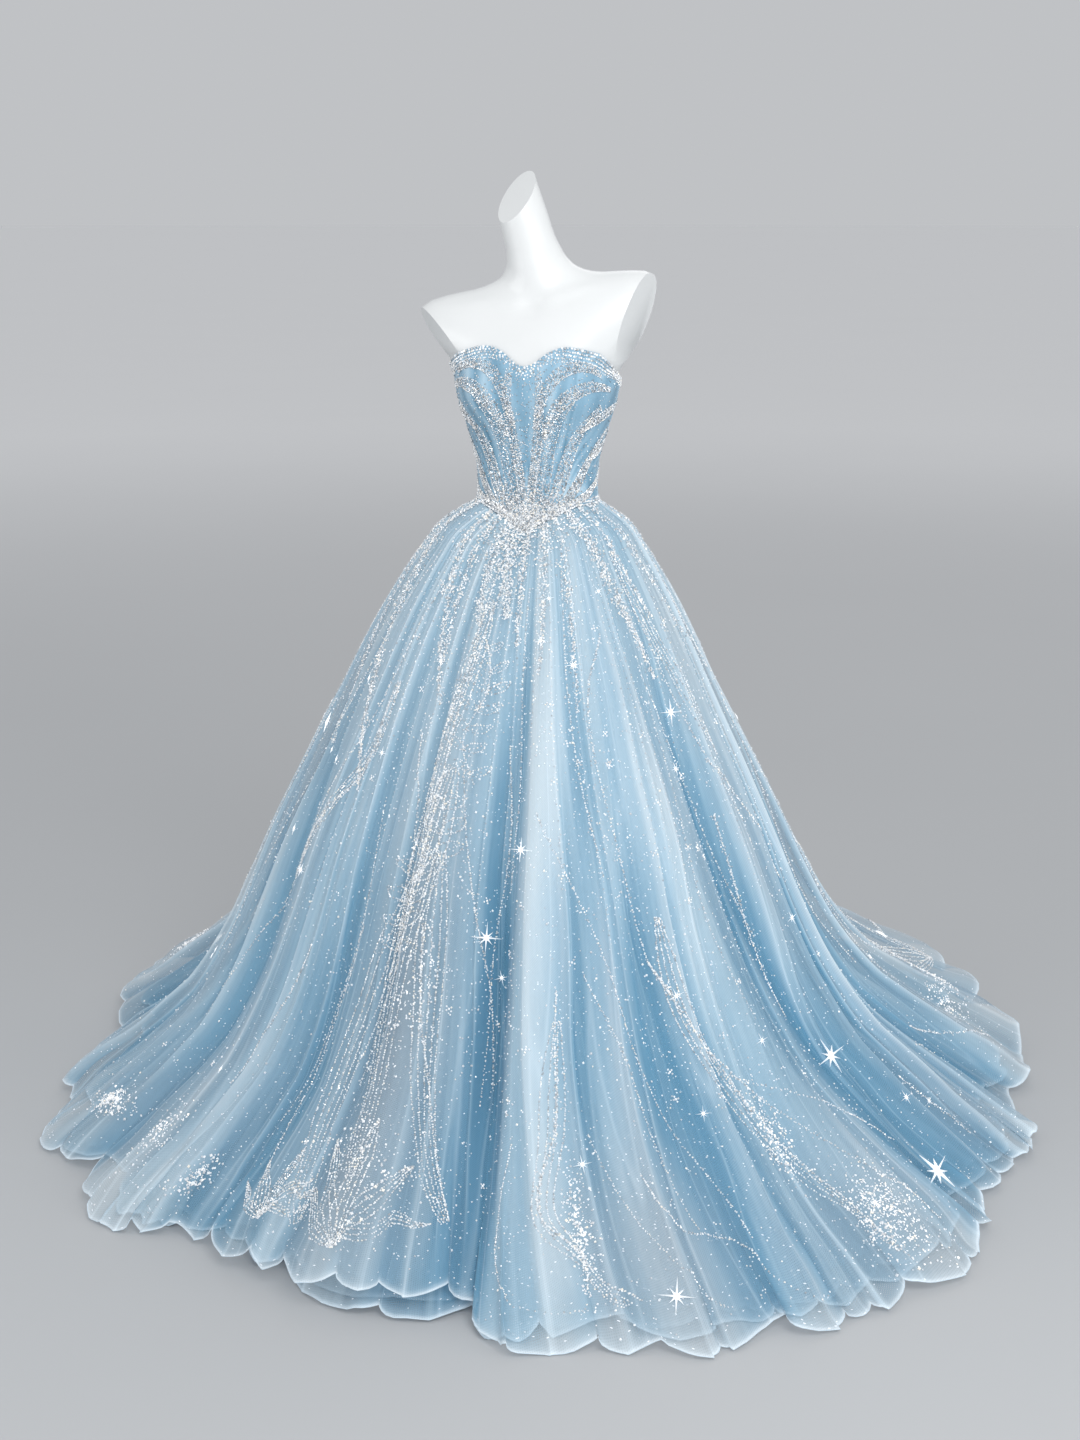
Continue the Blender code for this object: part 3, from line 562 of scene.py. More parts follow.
def fold_crests(layer):
    """The folds of a layer, in order round it."""
    draw = np.random.default_rng(layer["seed"])
    count = layer["folds"]
    spacing = TURN / count
    main = spacing * (np.arange(count) + draw.uniform(-FOLD_JITTER, FOLD_JITTER, count))
    minor = spacing * (np.arange(count) + draw.uniform(*MINOR_BETWEEN, count))
    minor = minor[draw.uniform(0.0, 1.0, count) < layer["minor_share"]]
    place = np.mod(np.concatenate([main, minor]), TURN)
    size, starts = (
        np.concatenate([draw.uniform(*of_main, count), draw.uniform(*of_minor, len(minor))])
        for of_main, of_minor in (FOLD_SIZES, FOLD_STARTS)
    )
    steep = draw.choice([-1.0, 1.0], len(place))
    shine = draw.uniform(*FOLD_SHINE, len(place))
    return np.stack([place, size, steep, starts, shine], axis=1)[np.argsort(place)]


def fold_shape(turn, h, crests):
    """How proud the folds stand at each point, and the thin pale lines painted along their crests
    as highlights, where the net is also denser.
    """
    proud = np.zeros(np.broadcast(turn, h).shape)
    line = np.zeros_like(proud)
    steep_width = STEEP_WIDTH[0] + (STEEP_WIDTH[1] - STEEP_WIDTH[0]) * smooth_step(0.05, 0.40, h)
    for place, size, steep, starts, shine in crests:
        away = short_way(turn - place) * steep
        soft = np.sqrt(away**2 + CREST_ROUND**2) - CREST_ROUND
        width = np.where(away < 0.0, steep_width, GENTLE_WIDTH)
        grown = smooth_step(starts - FOLD_RISES, starts + FOLD_RISES, h)
        proud = proud + size * grown * np.exp(-soft / width)
        line = line + shine * grown * np.exp(-((away / LINE_WIDTH) ** 2))
    return proud, line


def pinch_share(steep):
    """How far along the gap between two folds the hem is pinched in."""
    return 0.5 + PINCH_OFF * steep


def cloth_columns(layer, crests):
    """Columns of the grid: close at each crest and pinch, and even in between."""
    places = crests[:, PLACE]
    after = np.concatenate([places[1:], [places[0] + TURN]])
    middles = places + (after - places) * pinch_share(crests[:, STEEP])
    chosen = (places[:, None] + np.array(layer["crest_columns"])).ravel()
    pinches = (middles[:, None] + np.array(PINCH_COLUMNS)).ravel()
    even = TURN * np.arange(layer["columns"]) / layer["columns"]
    kept = list(np.sort(np.mod(chosen, TURN)))
    for more, clear in ((pinches, PINCH_CLEAR), (even, EVEN_CLEAR)):
        so_far = np.array(kept)
        kept += [turn for turn in np.mod(more, TURN)
                 if np.abs(short_way(so_far - turn)).min() > clear]
    return np.sort(np.array(kept))


def fall_rows(layer):
    """Falls of the rows of the grid, even down to the hem's part and closing up to its edge."""
    waist_rows, middle_rows, hem_rows = layer["rows"]
    return np.concatenate([
        np.linspace(0.0, WAIST_ROWS_TO, waist_rows, endpoint=False),
        np.linspace(WAIST_ROWS_TO, HEM_FROM, middle_rows, endpoint=False),
        1.0 - HEM_SHARE * (1.0 - np.linspace(0.0, 1.0, hem_rows)) ** 1.2,
    ])[:, None]


def hem_lobes(turn, crests):
    """Lobes of the hem: their wave, size, push of the cloth towards the pinch, and width.

    The wave is 1 at each fold and falls to the pinches, in a round notch or a pointed one.
    """
    places = crests[:, PLACE]
    k = np.searchsorted(places, turn, side="right") - 1
    after_k = (k + 1) % len(places)
    this = np.where(k < 0, places[-1] - TURN, places[k])
    after = np.where(k + 1 < len(places), places[after_k], places[0] + TURN)
    gap = after - this
    pinch = pinch_share(crests[k, STEEP])
    share = (turn - this) / gap
    before = share < pinch
    share = np.where(before, 0.5 * share / pinch, 0.5 + 0.5 * (share - pinch) / (1.0 - pinch))
    near = np.abs(2.0 * share - 1.0)
    pointed = np.mod(NOTCH_MIX * crests[k, SHINE], 1.0)
    round_power, pointed_power = NOTCH_POWERS
    notch = (1.0 - pointed) * (1.0 - near) ** round_power
    notch = notch + pointed * (1.0 - near**pointed_power)
    wave = 1.0 - (NOTCH_DEPTHS[0] + NOTCH_DEPTHS[1] * crests[k, SHINE]) * notch
    mix = smooth_step(0.0, 1.0, share)
    size = crests[k, SIZE] * (1.0 - mix) + crests[after_k, SIZE] * mix
    width = np.clip(gap / LOBE_WIDTH, 0.5, 1.3)
    return wave, LOBE_SIZES[0] + LOBE_SIZES[1] * size, gap * np.sin(TURN * share), width


def skirt_cloth(layer):
    """A layer's grid of points, rows from the waist and columns round, with what its cloth does."""
    crests = fold_crests(layer)
    turns = cloth_columns(layer, crests)
    turn = turns[None, :]
    h = fall_rows(layer)
    gathers = spread_gathers(turn)

    def waves(kind, fall=h):
        around, down, step = WAVES[kind]
        return wandering(turn, fall, around, down, layer["seed"] + step)

    # where each column runs, and how far out the layer's plain shape is
    grown = smooth_step(*DRIFT_GROWS, h)
    direction = gathers + grown * (DRIFT[0] * waves("drift") + DRIFT[1] * waves("fine_drift"))
    hem_radius, lift, further = (
        curve_of(HEM_OUTLINE, i, np.degrees(direction), 360.0) for i in (1, 2, 3)
    )
    hem_radius = hem_radius + further * layer["comes_further"]
    waist = waist_reach(gathers) + GATHERS_PROUD
    reach = curve_of(SKIRT_PROFILE, 1, h)

    # folds, from the largest to the fine gathers at the waist
    depth, aside = big_folds(direction, h)
    proud, line = fold_shape(turn, h, crests)
    soft = waves("soft")
    near_hem = smooth_step(HEM_FROM, 1.0, h) ** NEAR_HEM_POWER
    folded = FOLD_GAIN * proud * (1.0 - HEM_FLATTENS * near_hem) - FOLD_MEAN
    relief = depth + staged(layer["ripple"], h) * unevenness(turn, h) * folded
    relief = relief + layer["soft_folds"] * smooth_step(*SOFT_GROWS, h) * soft
    gathered = np.sin(FINE_GATHERS * turn + 2.0 * waves("gathers"))
    relief = relief + layer["waist_gathers"] * gathered * (1.0 - smooth_step(*GATHERS_FADE, h))

    # lobes of the hem: they stand in front, and lie with their edge arched behind
    lobe, lobe_size, inward, lobe_width = hem_lobes(turn, crests)
    lying = smooth_step(*LIES_BEHIND, np.degrees(np.abs(wrapped(direction))))
    swell = layer["lobe"] * (1.0 - 0.2 * lying) * lobe_size * lobe_width
    relief = relief + near_hem * swell * (0.5 * lobe + 0.15)
    relief = relief + HEM_ROUND * np.sin(math.pi * np.clip((h - HEM_FROM) / HEM_SHARE, 0.0, 1.0))
    floats = np.maximum(waves("floats", h * 0.0), 0.0)
    rise = layer["pinch_rise"] * near_hem * ((0.5 - 0.5 * lobe) * lobe_size + 0.35 * floats)
    arch = layer["arch"] * smooth_step(*ARCH_GROWS, h) * lobe_size
    arch = arch * (0.5 + 0.5 * lobe + 0.4 * floats)
    rise = rise + (arch - rise) * lying

    # small buckles near the floor
    buckle = waves("buckle") + 0.5 * waves("fine_buckle")
    crinkle = waves("crinkle")
    crumpled = BUCKLE_OUT * buckle + CRINKLE_OUT * crinkle
    relief = relief + crumpled * smooth_step(0.84, 0.98, h)
    rise = rise + CRINKLE_UP * np.maximum(crinkle, 0.0) * near_hem
    edge_free = 1.0 - smooth_step(0.985, 1.0, h)
    rise = rise + BUCKLE_UP * buckle * smooth_step(HEM_FROM, 0.92, h) * edge_free

    radius = waist + (hem_radius - waist) * reach + relief - inset_of(layer, h)
    direction = direction + near_hem * PINCH_TIGHT * inward + aside / np.maximum(radius, 0.08)
    top = waist_seam_z(gathers) - layer["top_drop"]
    bottom = HEM_FLOOR_GAP + np.maximum(lift, 0.0) * layer["follows_lift"]
    z = np.maximum(top + (bottom - top) * h + rise, HEM_FLOOR_GAP)
    sway = np.sin(math.pi * h) ** SWAY_POWER
    x = radius * np.sin(direction) + SKIRT_SWAY[0] * sway
    y = -radius * np.cos(direction) + SKIRT_SWAY[1] * sway
    # painted shading: lighter on the proud folds and lobes, painted shade in the valleys
    painted_fold_shading = SHADING_LEAST + SHADING_OF_FOLDS * proud + SHADING_OF_DEPTH * np.tanh(depth / DEEP_FOLD)
    painted_fold_shading = painted_fold_shading + SHADING_OF_SOFT_FOLDS * soft * grown
    return add_frames({
        "points": np.stack([x, y, np.broadcast_to(z, x.shape)], axis=-1),
        "h": h[:, 0], "turns": turns, "relief": relief, "crests": crests,
        "painted_fold_shading": painted_fold_shading + SHADING_OF_LOBES * lobe * near_hem,
        "line": line * (0.55 + 0.45 * waves("shine")),
    })


def add_frames(cloth):
    """Adds the unit vectors round and out of a closed grid at each of its points."""
    points = cloth["points"]
    around = np.roll(points, -1, axis=1) - np.roll(points, 1, axis=1)
    down = np.gradient(points, axis=0)
    cloth["around"] = unit(around)
    cloth["outward"] = unit(np.cross(down, around))
    return cloth


def on_cloth(cloth, turn, h, key="points"):
    """A value of the cloth's grid at any turn and fall."""
    grid = cloth[key]
    rows, count = grid.shape[:2]
    turns = np.concatenate([cloth["turns"], [cloth["turns"][0] + TURN]])
    across = np.mod(turn - turns[0], TURN) + turns[0]
    i = np.clip(np.searchsorted(turns, across, side="right") - 1, 0, count - 1)
    u = ((across - turns[i]) / (turns[i + 1] - turns[i]))[..., None]
    along = np.interp(h, cloth["h"], np.arange(rows))
    j = np.minimum(np.floor(along).astype(int), rows - 2)
    return between_four(grid, j, i, (along - j)[..., None], u)


# ---------------------------------------------------------------- bodice
def bodice_relief(phi, rise):
    """Soft pleats of the tulle laid over the satin, and the panel seams; rise is 0 at the waist."""
    degrees = np.degrees(wrapped(phi))
    fan = np.abs(degrees) / (FAN_WIDTH[0] + FAN_WIDTH[1] * rise)
    strays = 0.4 * wandering(phi, rise, 12, 4, 71)
    swept = np.sin(TURN * (fan * PLEATS + 0.9 * rise + strays))
    swept = swept * (0.55 + 0.45 * wandering(phi, rise, 16, 3, 72))
    pleats = PLEAT_DEPTH * swept * smooth_step(0.02, 0.2, rise) * smooth_step(1.0, 0.9, rise)
    strain = wandering(phi, rise, 30, 9, 73) * np.exp(-((rise - 0.10) / 0.13) ** 2)
    relief = pleats + STRAIN_DEPTH * strain
    for seam in BODICE_SEAMS:
        away = short_way(degrees - seam, 360.0)
        relief = relief - SEAM_DEPTH * np.exp(-((away / SEAM_WIDTH) ** 2))
    return relief


def bodice_turns():
    return np.linspace(-math.pi, math.pi, BODICE_COLUMNS, endpoint=False)


def bodice_cloth_grid():
    """The bodice's closed wall as a grid, and its outside as a cloth to sew beads on."""
    phi = bodice_turns()
    top = height_on_form(phi, neckline_z)
    bottom = height_on_form(phi, waist_seam_z)

    def wall(rows, distance, shaped):
        share = np.linspace(0.0, 1.0, rows)[:, None]
        front_z = top + (bottom - top) * share
        turns = np.broadcast_to(phi, front_z.shape)
        off = bodice_ease(front_z) + distance
        if shaped:
            off = off + bodice_relief(turns, np.broadcast_to(1.0 - share, front_z.shape))
        face = off_the_form(turns, front_z, off)
        face[-1, :, 2] = waist_seam_z(bearing(face[-1]))
        return face

    outside = wall(BODICE_SHOWN_ROWS, BODICE_WALL, True)
    inside = wall(BODICE_INSIDE_ROWS, 0.0, False)
    middle = (outside[0] + inside[0]) / 2
    across = (outside[0] - inside[0]) / 2
    over = -unit(outside[2] - outside[0]) * np.linalg.norm(across, axis=-1, keepdims=True)
    angles = [math.pi * k / EDGE_ROLL for k in range(1, EDGE_ROLL)]
    roll = [middle + across * math.cos(angle) + over * math.sin(angle) for angle in angles]
    grid = np.concatenate([outside[::-1], np.array(roll), inside])
    # turned so that the columns start at the front, as the skirt's do
    cloth = {
        "points": np.roll(outside, -(BODICE_COLUMNS // 2), axis=1),
        "h": np.linspace(0, 1, BODICE_SHOWN_ROWS),
        "turns": TURN * np.arange(BODICE_COLUMNS) / BODICE_COLUMNS,
    }
    return grid, add_frames(cloth)


def bodice_fold_shading():
    """Painted shading for each point of the bodice's grid, from the relief on both sides of its
    wall: lighter where it stands proud, painted shade in its pleats and seams.
    """
    rise = np.concatenate([
        np.linspace(0, 1, BODICE_SHOWN_ROWS), np.ones(EDGE_ROLL - 1),
        np.linspace(1, 0, BODICE_INSIDE_ROWS),
    ])[:, None]
    shaped = bodice_relief(*np.broadcast_arrays(bodice_turns()[None, :], rise))
    return np.clip(0.5 + shaped / BODICE_SHADING_DEPTH, 0.0, 1.0)


# ---------------------------------------------------------------- meshes
def new_piece(name, mesh, material):
    mesh.materials.append(material)
    piece = bpy.data.objects.new(name, mesh)
    bpy.context.scene.collection.objects.link(piece)
    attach(piece, "root")
    return piece


def grid_faces(rows, count, closed_down=False):
    """The faces of a grid that closes round, and the row and column that each starts from."""
    starts = np.arange(rows if closed_down else rows - 1)
    i, j = (part.ravel() for part in np.meshgrid(starts, np.arange(count), indexing="ij"))
    below = (i + 1) % rows
    beside = (j + 1) % count
    faces = np.stack([i * count + j, below * count + j, below * count + beside, i * count + beside])
    return faces.T, i, j


def mesh_from_grid(name, points, closed_down=False, flip=False):
    """A smooth mesh from a grid of points that closes round, with a cloth map in metres."""
    rows, count = points.shape[:2]
    faces, i, j = grid_faces(rows, count, closed_down)
    across = np.linalg.norm(np.roll(points, -1, axis=1) - points, axis=2).mean(axis=0)
    across = np.concatenate([[0.0], np.cumsum(across)])
    fall = np.linalg.norm(np.diff(points, axis=0), axis=2).mean(axis=1)
    fall = np.concatenate([[0.0], np.cumsum(fall), [0.0]])
    u = np.stack([across[j], across[j], across[j + 1], across[j + 1]], axis=1)
    v = np.stack([fall[i], fall[i + 1], fall[i + 1], fall[i]], axis=1)
    if flip:
        faces, u, v = faces[:, ::-1], u[:, ::-1], v[:, ::-1]
    mesh = bpy.data.meshes.new(name)
    mesh.from_pydata(points.reshape(-1, 3).tolist(), [], faces.tolist())
    laid_out = mesh.uv_layers.new(name="cloth")
    laid_out.data.foreach_set("uv", np.stack([u.ravel(), v.ravel()], axis=1).ravel())
    mesh.shade_smooth()
    return mesh


def paint(mesh, name, values):
    """Keeps a number for each point of a mesh, which its finish reads."""
    kept = mesh.attributes.new(name, "FLOAT", "POINT")
    kept.data.foreach_set("value", np.asarray(values, np.float32).ravel())


def paint_cloth(mesh, cloth):
    """Painted fold shading, painted crest highlights, steep sides, the hem's edge, the fall and the
    greyer veils of a layer.
    """
    points = cloth["points"]
    relief = cloth["relief"]
    h = cloth["h"][:, None]
    step = np.linalg.norm(np.roll(points, -1, axis=1) - np.roll(points, 1, axis=1), axis=2)
    slope = (np.roll(relief, -1, axis=1) - np.roll(relief, 1, axis=1)) / np.maximum(step, 1e-5)
    degrees = np.degrees(spread_gathers(cloth["turns"][None, :]))
    veil = np.zeros(relief.shape)
    for direction, fall, half_turn, half_fall, amount in VEILS:
        away = short_way(degrees - direction, 360.0) / half_turn
        veil = veil + amount * np.exp(-(away**2) - ((h - fall) / half_fall) ** 2)
    for name, values in (
        ("painted_fold_shading", np.clip(cloth["painted_fold_shading"], 0.0, 1.0)),
        ("line", np.clip(cloth["line"], 0.0, 1.0)),
        ("side", np.clip(np.abs(slope) - FLAT_SLOPE, 0.0, 1.0)),
        ("edge", np.broadcast_to(np.exp(-(1.0 - h) / EDGE_PALE), relief.shape)),
        ("fall", np.broadcast_to(h, relief.shape)),
        ("veil", np.clip(veil, 0.0, 1.0)),
    ):
        paint(mesh, name, values)


# ---------------------------------------------------------------- finishes
def colour(rgb):
    return (*rgb, 1.0)


def darker(rgb, share):
    return tuple(part * share for part in rgb)


class Finish:
    """A new material and its shader, with short ways to add a node and take its output."""

    def __init__(self, name):
        self.material = bpy.data.materials.new(name)
        self.material.use_nodes = True
        self.tree = self.material.node_tree
        self.shader = self.tree.nodes["Principled BSDF"]

    def node(self, kind, inputs, **settings):
        made = self.tree.nodes.new("ShaderNode" + kind)
        for key, value in settings.items():
            setattr(made, key, value)
        for key, value in inputs.items():
            if isinstance(value, bpy.types.NodeSocket):
                self.tree.links.new(value, made.inputs[key])
            else:
                made.inputs[key].default_value = value
        return made

    def link(self, key, socket):
        self.tree.links.new(socket, self.shader.inputs[key])

    def set(self, **values):
        """Sets the shader's own inputs, named with _ in place of a space."""
        for key, value in values.items():
            self.shader.inputs[key.replace("_", " ")].default_value = value

    # places and patterns
    def kept(self, name):
        return self.node("Attribute", {}, attribute_name=name).outputs["Fac"]

    def cloth_map(self):
        return self.node("UVMap", {}, uv_map="cloth").outputs[0]

    def place(self):
        return self.node("TexCoord", {}).outputs["Object"]

    def scaled(self, place, *scale):
        return self.node("Mapping", {"Vector": place, "Scale": scale}).outputs[0]

    def noise(self, place, scale, detail, roughness=0.5):
        inputs = {"Vector": place, "Scale": scale, "Detail": detail, "Roughness": roughness}
        return self.node("TexNoise", inputs).outputs[0]

    def stripes(self, place, bands, scale=1.0, distortion=0.0):
        inputs = {"Vector": place, "Scale": scale, "Distortion": distortion}
        return self.node("TexWave", inputs, bands_direction=bands).outputs["Fac"]

    def along_fall(self, across, along, detail):
        """Noise drawn out along the cloth's fall, so many times a metre across and along."""
        return self.noise(self.scaled(self.cloth_map(), across, along, 1.0), 1.0, detail, 0.55)

    def thin_lines(self, across, along, width):
        """Thin lines that wander down the fall, painted as pale highlights where a hidden ply's
        folds show through.
        """
        away = self.math("ABSOLUTE", self.centred(self.along_fall(across, along, 1.0)))
        return self.ranged(away, 0.0, width, 1.0, 0.0)

    # numbers and colours
    def math(self, operation, *values, clamp=False):
        inputs = dict(enumerate(values))
        return self.node("Math", inputs, operation=operation, use_clamp=clamp).outputs[0]

    def plus(self, first, second, gain=1.0, clamp=False):
        return self.math("MULTIPLY_ADD", second, gain, first, clamp=clamp)

    def centred(self, value):
        return self.math("SUBTRACT", value, 0.5)

    def ranged(self, value, from_low, from_high, to_low, to_high):
        inputs = {"Value": value, 1: from_low, 2: from_high, 3: to_low, 4: to_high}
        return self.node("MapRange", inputs).outputs[0]

    def mix(self, amount, first, second):
        return self.node("Mix", {0: amount, 6: first, 7: second}, data_type="RGBA").outputs[2]

    def ramp(self, amount, *stops):
        made = self.node("ValToRGB", {0: amount})
        elements = made.color_ramp.elements
        while len(elements) < len(stops):
            elements.new(0.5)
        for element, (place, rgb) in zip(elements, stops):
            element.position = place
            element.color = colour(rgb)
        return made.outputs[0]

    # what wears them
    def rough(self, value, low, high):
        self.link("Roughness", self.ranged(value, 0.0, 1.0, low, high))

    def bumps(self, height, strength, distance, over=None):
        inputs = {"Height": height, "Strength": strength, "Distance": distance}
        if over is not None:
            inputs["Normal"] = over
        return self.node("Bump", inputs).outputs[0]


def tulle_finish(name, blues, alpha, side_gain, line_gain, edge_gain, veil_loss):
    """Fine net: painted shade makes it deeper in the valleys and low down, painted highlights make
    it paler on the crests, and it is denser on steep sides.

    Steep sides, crest lines and the edge add to its density, and the veils take from it.
    """
    deep, middle, pale, veiled, hem = blues
    look = Finish(name)
    painted_fold_shading, line, side, edge, fall, veil = (
        look.kept(kept) for kept in ("painted_fold_shading", "line", "side", "edge", "fall", "veil")
    )
    flat = look.cloth_map()
    streaks = look.along_fall(46.0, 1.3, 3.0)
    ply_lines = look.thin_lines(15.0, 0.55, 0.016)

    # colour: painted fold shading, random streaks and clouds, painted light by the fall, and
    # painted crest highlights
    shade = look.plus(painted_fold_shading, look.centred(streaks), 0.70)
    shade = look.plus(shade, look.centred(look.along_fall(4.5, 1.8, 2.0)), 0.75)
    # painted light: lighter near the waist, darker towards the hem
    shade = look.plus(shade, look.ranged(fall, 0.05, 1.0, 0.30, -0.27), clamp=True)
    base = look.ramp(shade, (0.04, deep), (0.46, middle), (0.96, pale))
    base = look.mix(look.math("MULTIPLY", veil, 0.70), base, colour(veiled))
    # painted highlights: pale lines along the crests and where a hidden ply's folds show through,
    # where the net is also denser
    shown = look.plus(look.math("MULTIPLY", line, 0.52), ply_lines, 0.20, clamp=True)
    base = look.mix(shown, base, colour(hem))
    base = look.mix(edge, base, colour(hem))

    # the net's threads, and specks of bead dust on a few of its cells
    net = look.scaled(flat, 150.0, 150.0, 1.0)
    threads = look.math("MAXIMUM", look.stripes(net, "DIAGONAL"), look.stripes(net, "X", 1.4))
    dust = look.scaled(flat, 190.0, 190.0, 1.0)
    cells = look.node("TexVoronoi", {"Vector": dust, "Scale": 1.0, "Randomness": 1.0}).outputs
    chance = look.node("SeparateColor", {0: cells["Color"]}).outputs[0]
    lone = look.math("GREATER_THAN", chance, 0.82)
    speck = look.math("MULTIPLY", lone, look.math("LESS_THAN", cells["Distance"], 0.20))
    look.link("Base Color", look.mix(look.math("MULTIPLY", speck, 0.8), base, colour(BEAD_DUST)))

    # how much of it the eye sees through
    density = alpha
    for part, gain in ((side, side_gain), (line, line_gain), (ply_lines, 0.10), (edge, edge_gain),
                       (veil, -veil_loss), (look.centred(streaks), 0.22), (speck, 0.5)):
        density = look.plus(density, part, gain)
    look.link("Alpha", look.plus(density, look.centred(threads), 0.12, clamp=True))

    look.link("Normal", look.bumps(threads, 0.12, 0.0004))
    look.rough(streaks, 0.48, 0.68)
    look.set(Sheen_Weight=0.45, Sheen_Roughness=0.38, Sheen_Tint=colour((0.86, 0.93, 1.0)),
             Specular_IOR_Level=0.25)
    return look.material


def satin_finish(name, blues, weave_scale):
    """Satin with a fine weave, streaked lightly along its fall, with painted shade and highlight
    from the folds' shading.
    """
    deep, middle, pale = blues
    look = Finish(name)
    flat = look.cloth_map()
    streaks = look.noise(look.scaled(flat, 42.0, 4.0, 1.0), 1.0, 5.0)
    clouds = look.noise(look.scaled(flat, 9.0, 7.0, 1.0), 1.0, 2.0)
    # painted shading of the folds, with random streaks and clouds
    shade = look.plus(look.kept("painted_fold_shading"), look.centred(streaks), 0.7)
    shade = look.plus(shade, look.centred(clouds), 0.7, clamp=True)
    look.link("Base Color", look.ramp(shade, (0.05, deep), (0.5, middle), (0.95, pale)))
    woven = look.scaled(flat, weave_scale, weave_scale, 1.0)
    warp = look.stripes(woven, "X", distortion=0.3)
    weft = look.stripes(woven, "Y", distortion=0.3)
    fine = look.bumps(look.math("MULTIPLY", warp, weft), 0.18, 0.0004)
    look.link("Normal", look.bumps(streaks, 0.3, 0.002, over=fine))
    look.rough(streaks, 0.34, 0.52)
    look.set(Sheen_Weight=0.3, Sheen_Roughness=0.35, Sheen_Tint=colour((0.85, 0.93, 1.0)))
    return look.material


def thread_finish():
    """The twisted thread of the rolled hems."""
    look = Finish("hem_thread")
    twist = look.noise(look.scaled(look.cloth_map(), 400.0, 900.0, 1.0), 1.0, 2.0)
    look.link("Base Color", look.ramp(twist, (0.3, THREAD_DARK), (0.7, THREAD_PALE)))
    look.link("Normal", look.bumps(twist, 0.3, 0.0004))
    look.set(Roughness=0.5, Sheen_Weight=0.5, Alpha=0.9)
    return look.material


def bead_finish(name, darkest, rgb, roughness, metallic, glow):
    """Cut glass and silver: the colour varies from bead to bead, and the same colour is given off
    as a painted glow, as strong as asked, to stand in for sparkle.
    """
    look = Finish(name)
    base = look.ramp(look.kept("tint"), (0.0, darker(rgb, darkest)), (0.45, rgb),
                     (0.85, (1.0, 1.0, 1.0)), (1.0, WARM_GLINT))
    look.link("Base Color", base)
    # painted glow: the bead's colour is given off as light, standing in for its sparkle
    look.link("Emission Color", base)
    grain = look.noise(look.place(), 900.0, 2.0)
    look.rough(grain, roughness, roughness + 0.16)
    look.link("Normal", look.bumps(grain, 0.15, 0.0003))
    look.set(Emission_Strength=glow, Metallic=metallic, Coat_Weight=0.5, Coat_Roughness=0.08)
    return look.material


def gloss_white_finish():
    look = Finish("form_gloss_white")
    place = look.place()
    broad = look.noise(place, 6.0, 3.0)
    fine = look.noise(place, 140.0, 3.0)
    look.link("Base Color", look.ramp(broad, (0.3, darker(FORM_WHITE, 0.955)), (0.7, FORM_WHITE)))
    look.rough(fine, 0.26, 0.36)
    look.link("Normal", look.bumps(fine, 0.03, 0.0006))
    look.set(Coat_Weight=0.35, Coat_Roughness=0.18)
    return look.material


def brushed_steel_finish():
    look = Finish("stand_brushed_steel")
    place = look.place()
    brushed = look.noise(look.scaled(place, 40.0, 40.0, 900.0), 1.0, 4.0)
    worn = look.noise(place, 9.0, 4.0)
    look.link("Base Color", look.ramp(worn, (0.35, darker(STEEL, 0.82)), (0.65, STEEL)))
    look.rough(brushed, 0.24, 0.46)
    look.link("Normal", look.bumps(brushed, 0.12, 0.0003))
    look.set(Metallic=0.95)
    return look.material


def floor_finish():
    """Painted light and shade: grey near the gown, where the lamps fall, and pale far off, where
    only the air lights it, so that the floor runs into the air behind it.
    """
    look = Finish("studio_floor")
    place = look.place()
    broad = look.noise(place, 0.8, 2.0)
    away = look.node("VectorMath", {0: place}, operation="LENGTH").outputs["Value"]
    far = look.node("MapRange", {"Value": away, 1: 1.0, 2: 12.0}, interpolation_type="SMOOTHSTEP")
    mixed = look.plus(far.outputs[0], look.centred(broad), 0.04, clamp=True)
    look.link("Base Color", look.ramp(mixed, (0.0, FLOOR_NEAR), (1.0, FLOOR_FAR)))
    look.rough(broad, 0.86, 0.94)
    look.set(Specular_IOR_Level=0.15)
    return look.material


# ---------------------------------------------------------------- the white form
def nothing_selected():
    bpy.ops.object.select_all(action="DESELECT")


def select_only(piece):
    nothing_selected()
    piece.select_set(True)
    bpy.context.view_layer.objects.active = piece


def select_faces(piece, test):
    """In object mode: marks the faces that pass a test, for the next edit."""
    for part in (*piece.data.vertices, *piece.data.edges):
        part.select = False
    for face in piece.data.polygons:
        face.select = bool(test(face))


def cut_flat(piece, at, facing, from_z):
    """Saws off what lies beyond a plane and above a height, closes the cut and rounds its rim."""
    mesh = piece.data
    heights = [corner.co.z for corner in mesh.vertices]
    select_faces(piece, lambda face: min(heights[k] for k in face.vertices) > from_z)
    bpy.ops.object.mode_set(mode="EDIT")
    bpy.ops.mesh.bisect(plane_co=at, plane_no=facing, use_fill=True, clear_outer=True)
    bpy.ops.object.mode_set(mode="OBJECT")
    away = Vector(facing).normalized()
    plane = Vector(at).dot(away)

    def on_cut(face):
        return all(abs(mesh.vertices[k].co.dot(away) - plane) < 1e-5 for k in face.vertices)

    select_faces(piece, on_cut)
    bpy.ops.object.mode_set(mode="EDIT")
    bpy.ops.mesh.dissolve_faces()
    bpy.ops.mesh.region_to_loop()
    bpy.ops.mesh.bevel(offset=RIM_ROUND, segments=3, affect="EDGES")
    bpy.ops.object.mode_set(mode="OBJECT")


